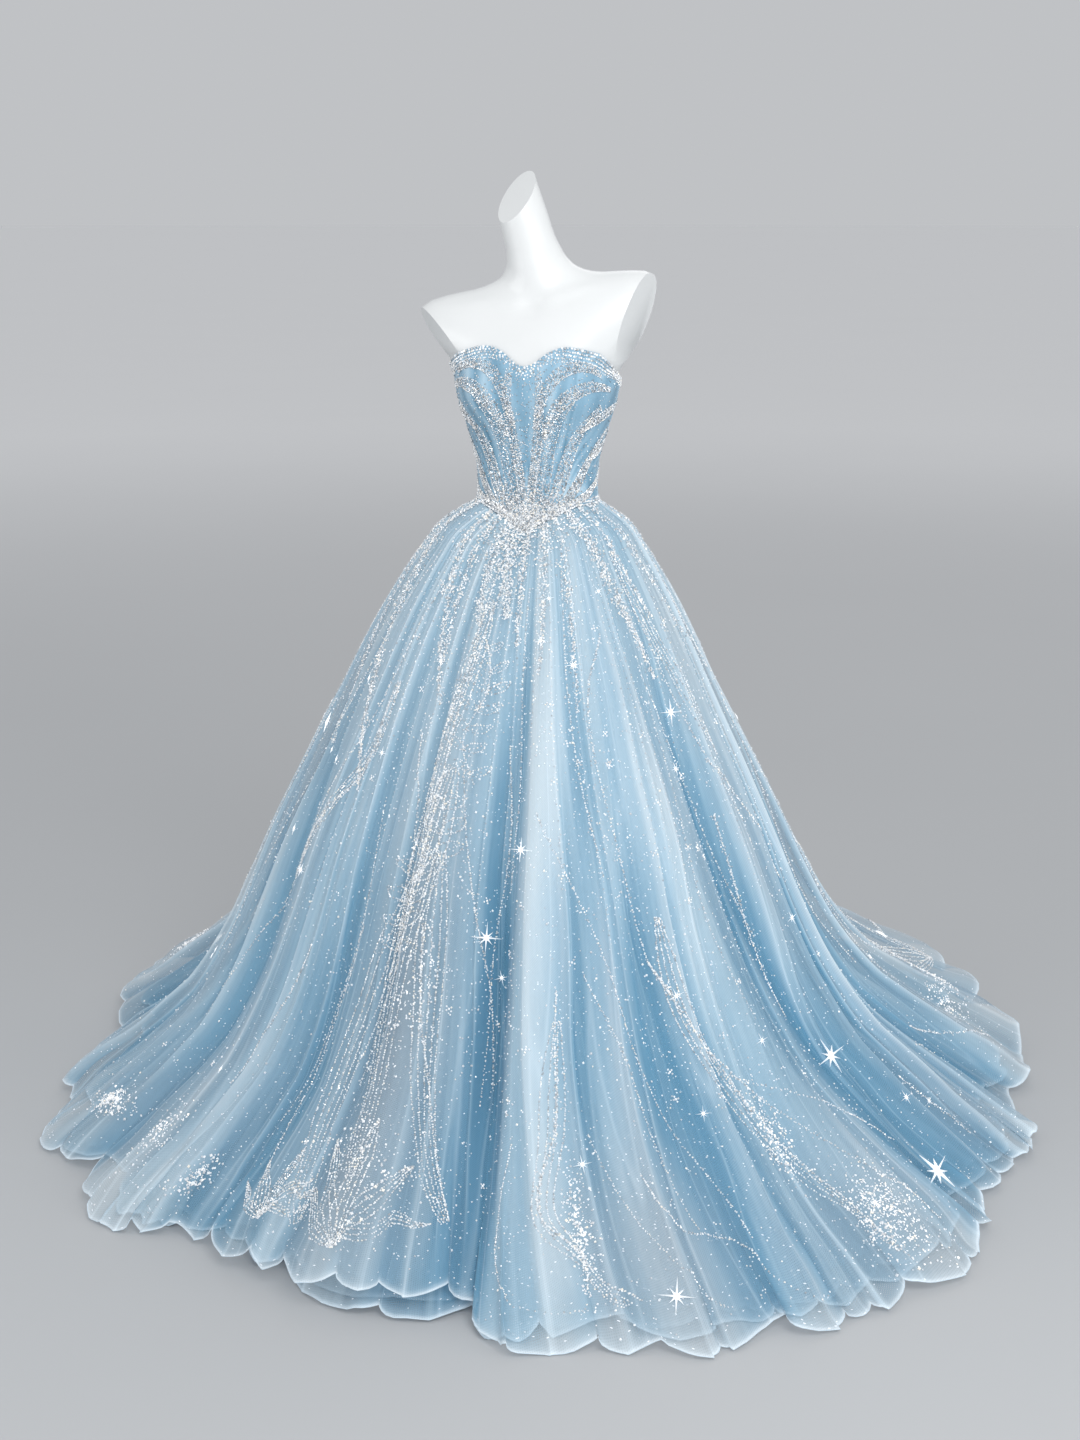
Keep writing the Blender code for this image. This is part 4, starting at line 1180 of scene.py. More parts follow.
def bones_and_hollow(points):
    """How far the skin in front is pushed back by the throat's hollow, less the collarbones."""
    x, y, z = points.T
    level = z - SHOULDER_SLOPE * x
    out_x, low_z = COLLARBONE_FROM
    span = np.abs(x) - out_x
    line = low_z + COLLARBONE_SLOPE * span * (1.0 - COLLARBONE_BOW * span / COLLARBONE_LENGTH)
    along = smooth_step(-0.012, 0.02, span) * smooth_step(COLLARBONE_LENGTH, 0.06, span)
    bone = COLLARBONE_RISE * along * np.exp(-(((level - line) / COLLARBONE_THICK) ** 2))
    hollow_x, hollow_z, radius, deep = THROAT_HOLLOW
    away = (x - hollow_x) ** 2 + (level - hollow_z) ** 2
    return np.where(y < 0, deep * np.exp(-away / radius**2) - bone, 0.0)


def build_form():
    nothing_selected()
    bpy.ops.mesh.primitive_grid_add(
        x_subdivisions=FORM_COLUMNS, y_subdivisions=FORM_RINGS, size=1.0)
    piece = bpy.context.object
    piece.name = "form_shell"
    mesh = piece.data

    # the grid is wrapped round the form, its rings closer together low down
    flat = np.zeros(len(mesh.vertices) * 3)
    mesh.vertices.foreach_get("co", flat)
    flat = flat.reshape(-1, 3)
    phi = (flat[:, 0] + 0.5) * TURN - math.pi
    low_z, high_z = FORM_ROWS[0][0], FORM_ROWS[-1][0]
    front_z = low_z + (high_z - low_z) * (flat[:, 1] + 0.5) ** 0.9
    points = off_the_form(phi, front_z, NECK_THICKER * smooth_step(*NECK_THICKER_Z, front_z))
    points[:, 1] += bones_and_hollow(points)
    mesh.vertices.foreach_set("co", points.ravel())
    mesh.update()

    # its two sides are joined down the back
    select_only(piece)
    bpy.ops.object.mode_set(mode="EDIT")
    bpy.ops.mesh.select_mode(type="VERT")
    bpy.ops.mesh.select_all(action="SELECT")
    bpy.ops.mesh.remove_doubles(threshold=0.00002)
    bpy.ops.mesh.select_all(action="DESELECT")
    bpy.ops.mesh.select_mode(type="FACE")
    bpy.ops.object.mode_set(mode="OBJECT")

    cut_flat(piece, NECK_CUT_AT, NECK_CUT_FACING, NECK_CUT_FROM_Z)
    for (x, y, z), (out, ahead, up) in STUMP_CUTS:
        facing = (out - SHOULDER_SLOPE * up, ahead, up + SHOULDER_SLOPE * out)
        cut_flat(piece, (x, y, z + SHOULDER_SLOPE * x), facing, STUMP_FROM_Z)

    # the underside is closed
    bpy.ops.object.mode_set(mode="EDIT")
    bpy.ops.mesh.select_mode(type="EDGE")
    bpy.ops.mesh.select_all(action="DESELECT")
    bpy.ops.mesh.select_non_manifold()
    bpy.ops.mesh.edge_face_add()
    bpy.ops.mesh.select_all(action="SELECT")
    bpy.ops.mesh.normals_make_consistent(inside=False)
    bpy.ops.object.mode_set(mode="OBJECT")
    bpy.ops.object.shade_smooth_by_angle(angle=math.radians(SHARP_FROM_DEG))
    mesh.materials.append(gloss_white_finish())
    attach(piece, "root")
    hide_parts("form_torso")


# ---------------------------------------------------------------- beads
def take_shape(piece):
    """The corners and faces of a finished small shape, which is then put away."""
    mesh = piece.data
    corners = np.array([corner.co[:] for corner in mesh.vertices])
    faces = [list(face.vertices) for face in mesh.polygons]
    bpy.data.objects.remove(piece, do_unlink=True)
    return corners, faces


def start_disc(sides, radius):
    nothing_selected()
    bpy.ops.mesh.primitive_circle_add(vertices=sides, radius=radius, fill_type="NGON")
    piece = bpy.context.object
    bpy.ops.object.mode_set(mode="EDIT")
    bpy.ops.mesh.select_mode(type="FACE")
    bpy.ops.mesh.select_all(action="SELECT")
    return piece


def end_shape(piece):
    """Turns all faces outwards, leaves edit mode and takes the shape."""
    bpy.ops.mesh.select_all(action="SELECT")
    bpy.ops.mesh.normals_make_consistent(inside=False)
    bpy.ops.object.mode_set(mode="OBJECT")
    return take_shape(piece)


def seed_bead():
    """A cut bead, pointed above and below its girdle."""
    piece = start_disc(4, 0.5)
    bpy.ops.mesh.poke(offset=0.42)
    bpy.ops.mesh.select_mode(type="EDGE")
    bpy.ops.mesh.select_all(action="DESELECT")
    bpy.ops.mesh.select_non_manifold()
    bpy.ops.mesh.edge_face_add()
    bpy.ops.mesh.select_mode(type="FACE")
    bpy.ops.mesh.normals_make_consistent(inside=False)
    bpy.ops.mesh.poke(offset=0.42)
    return end_shape(piece)


def crystal():
    """A flat-backed stone with a table and six sloping sides."""
    piece = start_disc(6, 0.5)
    bpy.ops.mesh.extrude_region_move(TRANSFORM_OT_translate={"value": (0.0, 0.0, 0.34)})
    bpy.ops.transform.resize(value=(0.56, 0.56, 1.0), center_override=(0.0, 0.0, 0.34))
    return end_shape(piece)


def star_shape():
    """A padded star of four long and four short points, of unit half width."""
    piece = start_disc(16, 1.0)
    bpy.ops.mesh.select_mode(type="VERT")
    short_points = (2, 6, 10, 14)
    for chosen, size in ((short_points, 0.56), (range(1, 16, 2), 0.15)):
        bpy.ops.mesh.select_all(action="DESELECT")
        bpy.ops.object.mode_set(mode="OBJECT")
        for k in chosen:
            piece.data.vertices[k].select = True
        bpy.ops.object.mode_set(mode="EDIT")
        bpy.ops.transform.resize(value=(size, size, 1.0), center_override=(0.0, 0.0, 0.0))
    bpy.ops.mesh.select_mode(type="FACE")
    bpy.ops.mesh.select_all(action="SELECT")
    bpy.ops.mesh.extrude_region_move(TRANSFORM_OT_translate={"value": (0.0, 0.0, 0.035)})
    bpy.ops.mesh.poke(offset=0.16)
    return end_shape(piece)


def places_on(cloth, turn, h):
    point = on_cloth(cloth, turn, h)
    around = unit(on_cloth(cloth, turn, h, "around"))
    outward = unit(on_cloth(cloth, turn, h, "outward"))
    around = unit(around - outward * (around * outward).sum(-1, keepdims=True))
    return point, around, outward


class Beading:
    """Beads laid on a cloth, a row or patch at a time, and then sewn on as one mesh."""

    def __init__(self, cloth):
        self.cloth = cloth
        self.places = []
        self.sizes = []

    def lay(self, turn, h, sizes):
        self.places.append(places_on(self.cloth, turn, h))
        self.sizes.append(sizes)

    def sew(self, name, shape, seed, material, lift=0.3):
        corners, faces = shape
        points, around, outward = (
            np.concatenate([part[k] for part in self.places]) for k in range(3)
        )
        sizes = np.concatenate(self.sizes)
        count = len(points)
        draw = np.random.default_rng(seed)
        beside = np.cross(outward, around)
        angle = draw.uniform(0.0, TURN, count)[:, None]
        first = around * np.cos(angle) + beside * np.sin(angle)
        second = np.cross(outward, first)
        tilt = BEAD_TILT * draw.uniform(-1.0, 1.0, (count, 1))
        third = unit(outward + tilt * first)
        first = unit(first - tilt * outward)
        shaped = (
            corners[None, :, 0:1] * first[:, None]
            + corners[None, :, 1:2] * second[:, None]
            + (corners[None, :, 2:3] + lift) * third[:, None]
        )
        all_points = points[:, None] + sizes[:, None, None] * shaped
        each = len(corners)
        starts = np.arange(count) * each
        joined = []
        for face in faces:
            joined.extend((starts[:, None] + np.array(face)[None, :]).tolist())
        mesh = bpy.data.meshes.new(name)
        mesh.from_pydata(all_points.reshape(-1, 3).tolist(), [], joined)
        paint(mesh, "tint", np.repeat(draw.uniform(0.0, 1.0, count), each))
        new_piece(name, mesh, material)


BEAD_TILT = 0.30
# Plumes that rise from the waist's point over the bodice. Each follows a curve pulled by four
# places: degrees from the front and rise from the waist (0) to the neckline (1), four times, and
# half the width.
PLUMES = (
    (1.0, 0.01, 4.0, 0.34, 17.0, 0.52, 8.5, 0.92, 0.0080),
    (3.0, 0.02, 26.0, 0.14, 8.0, 0.58, 38.0, 0.78, 0.0140),
    (6.0, 0.01, 46.0, 0.08, 30.0, 0.44, 60.0, 0.70, 0.0125),
    (10.0, 0.01, 60.0, 0.02, 54.0, 0.30, 88.0, 0.60, 0.0090),
    (16.0, 0.01, 66.0, 0.00, 78.0, 0.14, 106.0, 0.32, 0.0065),
    (9.0, 0.60, 13.0, 0.86, 30.0, 0.98, 56.0, 0.90, 0.0085),
    (16.0, 0.50, 22.0, 0.78, 44.0, 0.82, 70.0, 0.84, 0.0090),
    (46.0, 0.52, 58.0, 0.62, 78.0, 0.70, 104.0, 0.86, 0.0080),
    (66.0, 0.34, 80.0, 0.40, 96.0, 0.52, 112.0, 0.70, 0.0070),
    (168.0, 0.02, 166.0, 0.30, 150.0, 0.50, 150.0, 0.86, 0.0090),
    (158.0, 0.02, 146.0, 0.16, 140.0, 0.42, 122.0, 0.68, 0.0085),
    (146.0, 0.02, 132.0, 0.08, 122.0, 0.20, 108.0, 0.38, 0.0060),
)
PLUME_LINES = 9
PLUME_RIM = (0.0031, 0.0030, 0.0046)  # spacing, least and largest bead at its rims and rib
PLUME_INSIDE = (0.0034, 0.0022, 0.0038)
BODICE_HEIGHT = 0.250
BODICE_RADIUS = 0.112
WAIST_RADIUS = 0.098
BODICE_LOOSE_BEADS = 3000
BODICE_LOOSE_SIZES = (0.0016, 0.0030)
STREAM_SIZES = (0.0024, 0.0046)
WAIST_POINT_BEADS = 620
# Rows of stones below the neckline and above the waist seam: share of the height, size, spacing
NECK_EDGE_ROWS = (
    (0.003, 0.0046, 0.0040), (0.018, 0.0038, 0.0034), (0.033, 0.0040, 0.0038),
    (0.050, 0.0034, 0.0036), (0.068, 0.0028, 0.0044),
)
WAIST_EDGE_ROWS = ((0.006, 0.0044, 0.0040), (0.024, 0.0036, 0.0036), (0.044, 0.0030, 0.0038))


def lay_plume(beads, plume, side, draw):
    """Bead lines that run along a curve and open and close like a plume's barbs."""
    keys = np.array(plume[:8]).reshape(4, 2)
    keys[:, 0] = np.radians(keys[:, 0]) * BODICE_RADIUS
    keys[:, 1] *= BODICE_HEIGHT
    half = plume[8]
    length = 0.92 * np.linalg.norm(np.diff(keys, axis=0), axis=1).sum()
    found = []
    sizes = []
    for off in np.linspace(-1.0, 1.0, PLUME_LINES):
        rim = abs(off) > 0.9 or abs(off) < 0.2
        spacing, least, most = PLUME_RIM if rim else PLUME_INSIDE
        t = np.arange(0.0, 1.0, spacing / length)
        t = t + draw.uniform(-0.3, 0.3, len(t)) * spacing / length
        if not rim:
            t = t[draw.uniform(0.0, 1.0, len(t)) < 0.84]
        t = np.clip(t, 0.0, 1.0)[:, None]
        s = 1.0 - t
        at = s**3 * keys[0] + 3 * s * s * t * keys[1] + 3 * s * t * t * keys[2] + t**3 * keys[3]
        way = s * s * (keys[1] - keys[0]) + 2 * s * t * (keys[2] - keys[1])
        way = unit(way + t * t * (keys[3] - keys[2]))
        aside = np.stack([-way[:, 1], way[:, 0]], axis=1)
        wide = half * (0.34 + 0.66 * np.sin(math.pi * t**0.85))
        found.append(at + aside * wide * (off + draw.uniform(-0.05, 0.05, t.shape)))
        sizes.append(draw.uniform(least, most, len(at)) * (1.0 - 0.25 * t[:, 0]))
    at = np.concatenate(found)
    rise = np.clip(at[:, 1] / BODICE_HEIGHT, 0.004, 0.985)
    beads.lay(side * at[:, 0] / BODICE_RADIUS, 1.0 - rise, np.concatenate(sizes))


def even_round(number, row):
    """Evenly spaced turns, those of every other row moved by half a space."""
    return TURN * (np.arange(number) + 0.5 * (row % 2)) / number


def bodice_beadwork(cloth, bead, stone, silver, bright):
    draw = np.random.default_rng(301)
    beads = Beading(cloth)
    for plume in PLUMES:
        for side in (-1.0, 1.0):
            lay_plume(beads, plume, side, draw)
    # loose beads between the plumes, thinner towards the sides and back
    turn = draw.normal(0.0, 0.95, BODICE_LOOSE_BEADS)
    rise = draw.uniform(0.0, 1.0, BODICE_LOOSE_BEADS) ** 1.2
    likely = 0.35 + 0.65 * np.exp(-((turn / 0.8) ** 2))
    kept = draw.uniform(0.0, 1.0, BODICE_LOOSE_BEADS) < likely
    beads.lay(turn[kept], 1.0 - rise[kept], draw.uniform(*BODICE_LOOSE_SIZES, kept.sum()))
    # the dense point of the waist
    turn = draw.normal(0.0, 0.34, WAIST_POINT_BEADS)
    rise = np.abs(draw.normal(0.0, 0.10, WAIST_POINT_BEADS)) * np.exp(-((turn / 0.6) ** 2))
    sizes = draw.uniform(*STREAM_SIZES, WAIST_POINT_BEADS)
    beads.lay(turn, 1.0 - np.clip(rise, 0.002, 1.0), sizes)
    beads.sew("bodice_beads", bead, 302, silver)

    # the beaded edges: rows of stones along the neckline and over the waist seam
    stones = Beading(cloth)
    for row, (fall, size, spacing) in enumerate(NECK_EDGE_ROWS):
        number = int(TURN * BODICE_RADIUS * 1.05 / spacing)
        turn = even_round(number, row) + draw.uniform(-0.25, 0.25, number) * TURN / number
        h = fall + draw.uniform(-0.3, 0.3, number) * 0.008
        stones.lay(turn, np.clip(h, 0.0, 1.0), size * draw.uniform(0.8, 1.2, number))
    for row, (rise, size, spacing) in enumerate(WAIST_EDGE_ROWS):
        number = int(TURN * WAIST_RADIUS / spacing)
        h = 1.0 - rise - draw.uniform(-0.3, 0.3, number) * 0.010
        stones.lay(even_round(number, row), h, size * draw.uniform(0.8, 1.2, number))
    stones.sew("bodice_edge_stones", stone, 303, bright, lift=0.1)


# Skirt beadwork. Streams run down the gathers from the waist seam: direction and h of the top and
# of the end, half the width at both, and how many beads.
STREAMS = (
    (282.0, 0.00, 300.0, 0.36, 0.0080, 0.0030, 420),
    (292.0, 0.00, 319.0, 0.40, 0.0120, 0.0030, 900),
    (318.0, 0.00, 342.0, 0.26, 0.0090, 0.0030, 520),
    (330.0, 0.00, 338.0, 0.20, 0.0070, 0.0025, 330),
    (343.0, 0.00, 350.0, 0.14, 0.0110, 0.0040, 460),
    (352.0, 0.00, 2.0, 0.12, 0.0120, 0.0050, 560),
    (6.0, 0.00, 8.0, 0.16, 0.0080, 0.0030, 330),
    (20.0, 0.00, 18.0, 0.20, 0.0080, 0.0020, 330),
    (32.0, 0.00, 30.0, 0.26, 0.0050, 0.0015, 260),
    (46.0, 0.00, 62.0, 0.24, 0.0110, 0.0030, 780),
    (58.0, 0.00, 70.0, 0.16, 0.0050, 0.0020, 240),
    (70.0, 0.00, 98.0, 0.28, 0.0080, 0.0030, 420),
    (94.0, 0.00, 104.0, 0.26, 0.0080, 0.0030, 380),
    (112.0, 0.00, 118.0, 0.34, 0.0090, 0.0030, 420),
    (130.0, 0.00, 134.0, 0.24, 0.0070, 0.0030, 320),
    (148.0, 0.00, 150.0, 0.38, 0.0090, 0.0030, 420),
    (165.0, 0.00, 165.0, 0.22, 0.0070, 0.0030, 320),
    (180.0, 0.00, 180.0, 0.42, 0.0110, 0.0030, 520),
    (196.0, 0.00, 196.0, 0.22, 0.0070, 0.0030, 320),
    (213.0, 0.00, 211.0, 0.38, 0.0090, 0.0030, 420),
    (230.0, 0.00, 226.0, 0.24, 0.0070, 0.0030, 320),
    (248.0, 0.00, 244.0, 0.34, 0.0090, 0.0030, 420),
    (266.0, 0.00, 266.0, 0.28, 0.0080, 0.0030, 360),
)
# Chains of beads along the folds, through four points each: direction and h, four times, then
# spacing, size and half the width over which the beads stray.
CHAINS = (
    (41.1, 0.16, 33.2, 0.25, 34.9, 0.42, 38.0, 0.60, 0.0050, 0.0028, 0.0035),
    (38.0, 0.60, 41.1, 0.66, 47.0, 0.80, 54.4, 0.985, 0.0042, 0.0034, 0.0060),
    (44.0, 0.72, 50.0, 0.80, 57.0, 0.89, 62.0, 0.96, 0.0050, 0.0030, 0.0035),
    (45.0, 0.75, 55.0, 0.80, 66.0, 0.85, 72.0, 0.90, 0.0060, 0.0028, 0.0030),
    (17.9, 0.38, 27.7, 0.585, 33.2, 0.77, 40.0, 0.92, 0.0056, 0.0027, 0.0025),
    (20.0, 0.62, 19.0, 0.78, 16.5, 0.87, 23.6, 0.965, 0.0038, 0.0034, 0.0055),
    (14.0, 0.80, 11.5, 0.88, 11.0, 0.94, 19.0, 0.975, 0.0048, 0.0026, 0.0020),
    (27.7, 0.835, 30.0, 0.88, 36.0, 0.92, 44.0, 0.98, 0.0050, 0.0028, 0.0025),
    (23.0, 0.80, 25.0, 0.86, 28.0, 0.91, 33.0, 0.97, 0.0060, 0.0024, 0.0020),
    (24.0, 0.60, 29.0, 0.70, 31.0, 0.80, 33.5, 0.90, 0.0052, 0.0027, 0.0030),
    (71.4, 0.36, 78.0, 0.43, 84.0, 0.50, 87.2, 0.56, 0.0036, 0.0032, 0.0050),
    (69.1, 0.44, 69.1, 0.54, 69.1, 0.64, 69.1, 0.735, 0.0036, 0.0032, 0.0050),
    (319.9, 0.27, 319.9, 0.36, 313.0, 0.43, 306.0, 0.52, 0.0034, 0.0032, 0.0065),
    (309.6, 0.50, 305.0, 0.58, 300.0, 0.66, 297.0, 0.78, 0.0050, 0.0027, 0.0030),
    (319.9, 0.62, 318.5, 0.68, 317.0, 0.75, 316.2, 0.82, 0.0040, 0.0028, 0.0030),
    (330.0, 0.40, 333.0, 0.55, 331.0, 0.70, 328.0, 0.86, 0.0052, 0.0026, 0.0025),
    (338.0, 0.30, 343.0, 0.45, 344.0, 0.62, 342.0, 0.80, 0.0048, 0.0028, 0.0028),
    (8.0, 0.30, 10.0, 0.44, 7.0, 0.60, 5.0, 0.80, 0.0052, 0.0026, 0.0030),
    (356.0, 0.34, 2.0, 0.50, 6.0, 0.62, 7.0, 0.78, 0.0046, 0.0028, 0.0030),
    (352.0, 0.05, 350.0, 0.19, 346.0, 0.34, 343.0, 0.50, 0.0042, 0.0032, 0.0040),
    (357.0, 0.06, 351.0, 0.22, 350.0, 0.38, 347.0, 0.56, 0.0042, 0.0032, 0.0034),
    (352.0, 0.56, 354.0, 0.70, 358.5, 0.82, 1.5, 0.93, 0.0042, 0.0032, 0.0036),
    (334.0, 0.58, 331.5, 0.72, 331.0, 0.85, 334.5, 0.95, 0.0046, 0.0028, 0.0030),
    (322.0, 0.10, 316.0, 0.28, 309.0, 0.44, 303.0, 0.60, 0.0050, 0.0028, 0.0040),
    (310.0, 0.06, 303.0, 0.22, 297.0, 0.38, 292.0, 0.56, 0.0056, 0.0028, 0.0034),
    (60.0, 0.10, 66.0, 0.24, 72.0, 0.36, 76.0, 0.50, 0.0050, 0.0030, 0.0044),
    (54.0, 0.22, 62.0, 0.36, 66.0, 0.50, 70.0, 0.62, 0.0052, 0.0028, 0.0036),
    (29.0, 0.06, 27.0, 0.20, 28.0, 0.34, 30.0, 0.48, 0.0056, 0.0026, 0.0024),
    (12.0, 0.08, 11.0, 0.22, 12.0, 0.36, 11.0, 0.50, 0.0056, 0.0026, 0.0024),
    (54.0, 0.26, 50.0, 0.40, 50.0, 0.54, 53.0, 0.70, 0.0066, 0.0024, 0.0024),
    (85.3, 0.86, 86.0, 0.89, 87.0, 0.92, 87.2, 0.95, 0.0042, 0.0030, 0.0055),
    (103.9, 0.87, 107.0, 0.89, 111.9, 0.925, 116.0, 0.955, 0.0042, 0.0030, 0.0055),
    (96.0, 0.86, 99.0, 0.90, 100.0, 0.93, 102.0, 0.96, 0.0046, 0.0030, 0.0055),
)
# Bands of bead lines that open and close along a path: direction and h, four times, then half the
# width and how many lines.
BANDS = (
    (354.0, 0.10, 351.0, 0.22, 348.0, 0.36, 349.5, 0.50, 0.0110, 4),
    (353.0, 0.34, 348.5, 0.50, 345.5, 0.68, 349.0, 0.89, 0.0300, 6),
    (354.0, 0.46, 354.5, 0.62, 356.0, 0.78, 1.0, 0.93, 0.0200, 5),
    (347.0, 0.50, 341.0, 0.65, 337.5, 0.80, 341.5, 0.955, 0.0260, 5),
    (41.0, 0.54, 41.5, 0.67, 46.0, 0.80, 53.5, 0.97, 0.0160, 4),
    (20.0, 0.66, 18.5, 0.79, 17.0, 0.88, 22.5, 0.965, 0.0150, 4),
    (321.0, 0.24, 319.5, 0.34, 313.0, 0.43, 306.0, 0.55, 0.0130, 4),
    (60.0, 0.06, 65.0, 0.15, 71.0, 0.24, 76.0, 0.36, 0.0100, 4),
    (118.0, 0.42, 124.0, 0.58, 122.0, 0.76, 128.0, 0.95, 0.0300, 5),
    (148.0, 0.38, 154.0, 0.56, 151.0, 0.76, 157.0, 0.95, 0.0320, 6),
    (212.0, 0.38, 206.0, 0.56, 209.0, 0.76, 203.0, 0.95, 0.0320, 6),
    (242.0, 0.42, 236.0, 0.58, 238.0, 0.76, 232.0, 0.95, 0.0300, 5),
)
BAND_SPACING = 0.0034
BAND_SIZES = (0.0026, 0.0040)
CHAINS_BEHIND = 26
BAND_BLUNT = 0.22                     # how far open a band is at its ends, and a palmette's plume
PLUME_BLUNT = 0.02
BEAD_STRAY = 0.0004
# Patches of scattered stones: direction, h, half the width and height, and how many
PATCHES = (
    (55.0, 0.93, 0.050, 0.085, 620),
    (48.0, 0.83, 0.022, 0.080, 280),
    (296.0, 0.925, 0.050, 0.030, 300),
    (312.0, 0.90, 0.030, 0.060, 170),
    (322.0, 0.94, 0.030, 0.045, 160),
    (20.0, 0.90, 0.018, 0.110, 300),
    (350.0, 0.88, 0.070, 0.100, 240),
    (352.0, 0.66, 0.040, 0.090, 110),
    (120.0, 0.90, 0.050, 0.060, 260),
    (150.0, 0.92, 0.060, 0.060, 300),
    (182.0, 0.90, 0.070, 0.080, 420),
    (214.0, 0.92, 0.060, 0.060, 300),
    (244.0, 0.90, 0.050, 0.060, 260),
)
# Leaf sprays: direction and h of the foot, length of the stem, pairs of leaves, length of a leaf,
# and degrees that the stem is turned.
SPRAYS = (
    (354.0, 0.15, 0.250, 7, 0.038, 4.0),
    (352.0, 0.38, 0.290, 7, 0.050, -6.0),
    (180.0, 0.34, 0.360, 9, 0.052, 0.0),
    (181.0, 0.68, 0.340, 7, 0.060, 0.0),
)
STEM_SPACING = 0.0034
STEM_BOW = 0.012
LEAF_SPACING = 0.0030
# Palmettes of five plumes that open upwards from a foot near the hem: direction, h, size
PALMETTES = (
    (349.6, 0.968, 1.0), (336.5, 0.962, 0.62), (135.0, 0.950, 0.95), (166.0, 0.950, 1.0),
    (198.0, 0.950, 1.0), (229.0, 0.950, 0.95),
)
# Each plume through four places, as degrees beside and h above the foot, and half its width.
PLUMES_OF_ONE = (
    (0.0, 0.0, -3.4, 0.024, -6.8, 0.044, -10.4, 0.050, 0.0110),
    (0.0, 0.0, -2.2, 0.042, -4.4, 0.080, -7.2, 0.108, 0.0130),
    (0.0, 0.0, -0.2, 0.048, 0.2, 0.096, 0.8, 0.142, 0.0140),
    (0.0, 0.0, 2.4, 0.040, 4.4, 0.074, 7.0, 0.098, 0.0125),
    (0.0, 0.0, 3.4, 0.022, 6.6, 0.038, 9.8, 0.042, 0.0105),
)
PLUME_ROWS = 4
CROWDED_BEADS = 460
CROWDED_SIZES = (0.0024, 0.0048)
CREST_SIZES = (0.0024, 0.0036)
SPRAY_SIZES = (0.0027, 0.0040)
# sizes, and how many of the beads have each
LOOSE_SIZES, LOOSE_SHARES = (0.0022, 0.0028, 0.0034, 0.0046), (0.34, 0.36, 0.22, 0.08)
PATCH_SIZES, PATCH_SHARES = (0.0026, 0.0034, 0.0046, 0.0062), (0.40, 0.32, 0.20, 0.08)
LOOSE_BEADS = 4200
FLOWERS = 90
FLOWER_RADIUS = 0.0044
FLOWER_SIZES = (0.0046, 0.0038, 0.0038, 0.0038, 0.0038)
# Stars: direction, h, half the width, and degrees that they are turned
STARS = (
    (5.8, 0.570, 0.0263, 8.0), (14.6, 0.435, 0.0200, 0.0), (64.8, 0.290, 0.0225, -12.0),
    (73.7, 0.800, 0.0338, 6.0), (71.4, 0.945, 0.0387, -4.0), (27.7, 0.950, 0.0287, 0.0),
    (21.6, 0.830, 0.0163, 10.0), (39.5, 0.790, 0.0137, 0.0), (41.1, 0.645, 0.0150, 20.0),
    (80.9, 0.875, 0.0137, 0.0), (80.9, 0.610, 0.0125, 15.0), (29.6, 0.195, 0.0150, 0.0),
    (8.9, 0.625, 0.0137, 30.0), (56.5, 0.360, 0.0112, 0.0), (44.5, 0.105, 0.0100, 20.0),
    (21.6, 0.100, 0.0100, 0.0), (52.4, 0.725, 0.0125, 8.0), (54.4, 0.920, 0.0137, 0.0),
    (86.0, 0.900, 0.0100, 22.0), (17.9, 0.155, 0.0112, 0.0), (337.1, 0.200, 0.0112, 12.0),
    (325.0, 0.340, 0.0112, 0.0), (311.0, 0.530, 0.0125, 0.0), (297.0, 0.920, 0.0137, 18.0),
)
STAR_TIP = np.array((0.20, -0.62, 0.10))  # how far the stars of the table tip towards the front
STARS_BEHIND = 34
STAR_SIZES_BEHIND = (0.008, 0.010, 0.013, 0.019)


def through_four(keys, t):
    """A smooth line through four points."""
    keys = np.asarray(keys, float).reshape(4, 2)
    keys[:, 0] = np.degrees(np.unwrap(np.radians(keys[:, 0])))
    stops = np.linspace(0.0, 1.0, 4)
    return curve_through(stops, keys[:, 0], t), curve_through(stops, keys[:, 1], t)


def cloth_sizes(cloth, turn, h):
    """Metres for each radian round the cloth and for each unit of its fall."""
    step = 0.01
    low = np.clip(h - step, 0.0, 1.0 - 2 * step)
    fall = on_cloth(cloth, turn, low + 2 * step) - on_cloth(cloth, turn, low)
    point = on_cloth(cloth, turn, h)
    return np.hypot(point[..., 0], point[..., 1]), np.linalg.norm(fall, axis=-1) / (2 * step)


def laid_on(cloth, degrees, h, across, along):
    """Turn and fall of points given in metres beside and below a place on the cloth."""
    turn = turn_of(degrees)
    radius, fall = cloth_sizes(cloth, np.atleast_1d(turn), np.atleast_1d(h))
    return turn + across / radius, np.clip(h + along / fall, 0.002, 0.998)


def path_on(cloth, keys, spacing):
    """Evenly spaced places on a path through four points: share, turn, fall, sizes and way."""
    degrees, h = through_four(keys, np.linspace(0.0, 1.0, 40))
    line = on_cloth(cloth, turn_of(degrees), h)
    number = int(np.linalg.norm(np.diff(line, axis=0), axis=1).sum() / spacing)
    t = (np.arange(number) + 0.5) / number
    degrees, h = through_four(keys, t)
    turn = np.unwrap(turn_of(degrees))
    radius, fall = cloth_sizes(cloth, turn, h)
    way = unit(np.stack([np.gradient(turn) * radius, np.gradient(h) * fall], axis=1))
    return t, turn, h, radius, fall, way


def mostly_ahead(draw, number, share, middle, spread):
    """Directions of which a share lies about the front and the rest all round."""
    front = draw.uniform(0.0, 1.0, number) < share
    return np.where(front, draw.normal(middle, spread, number), draw.uniform(0.0, 360.0, number))


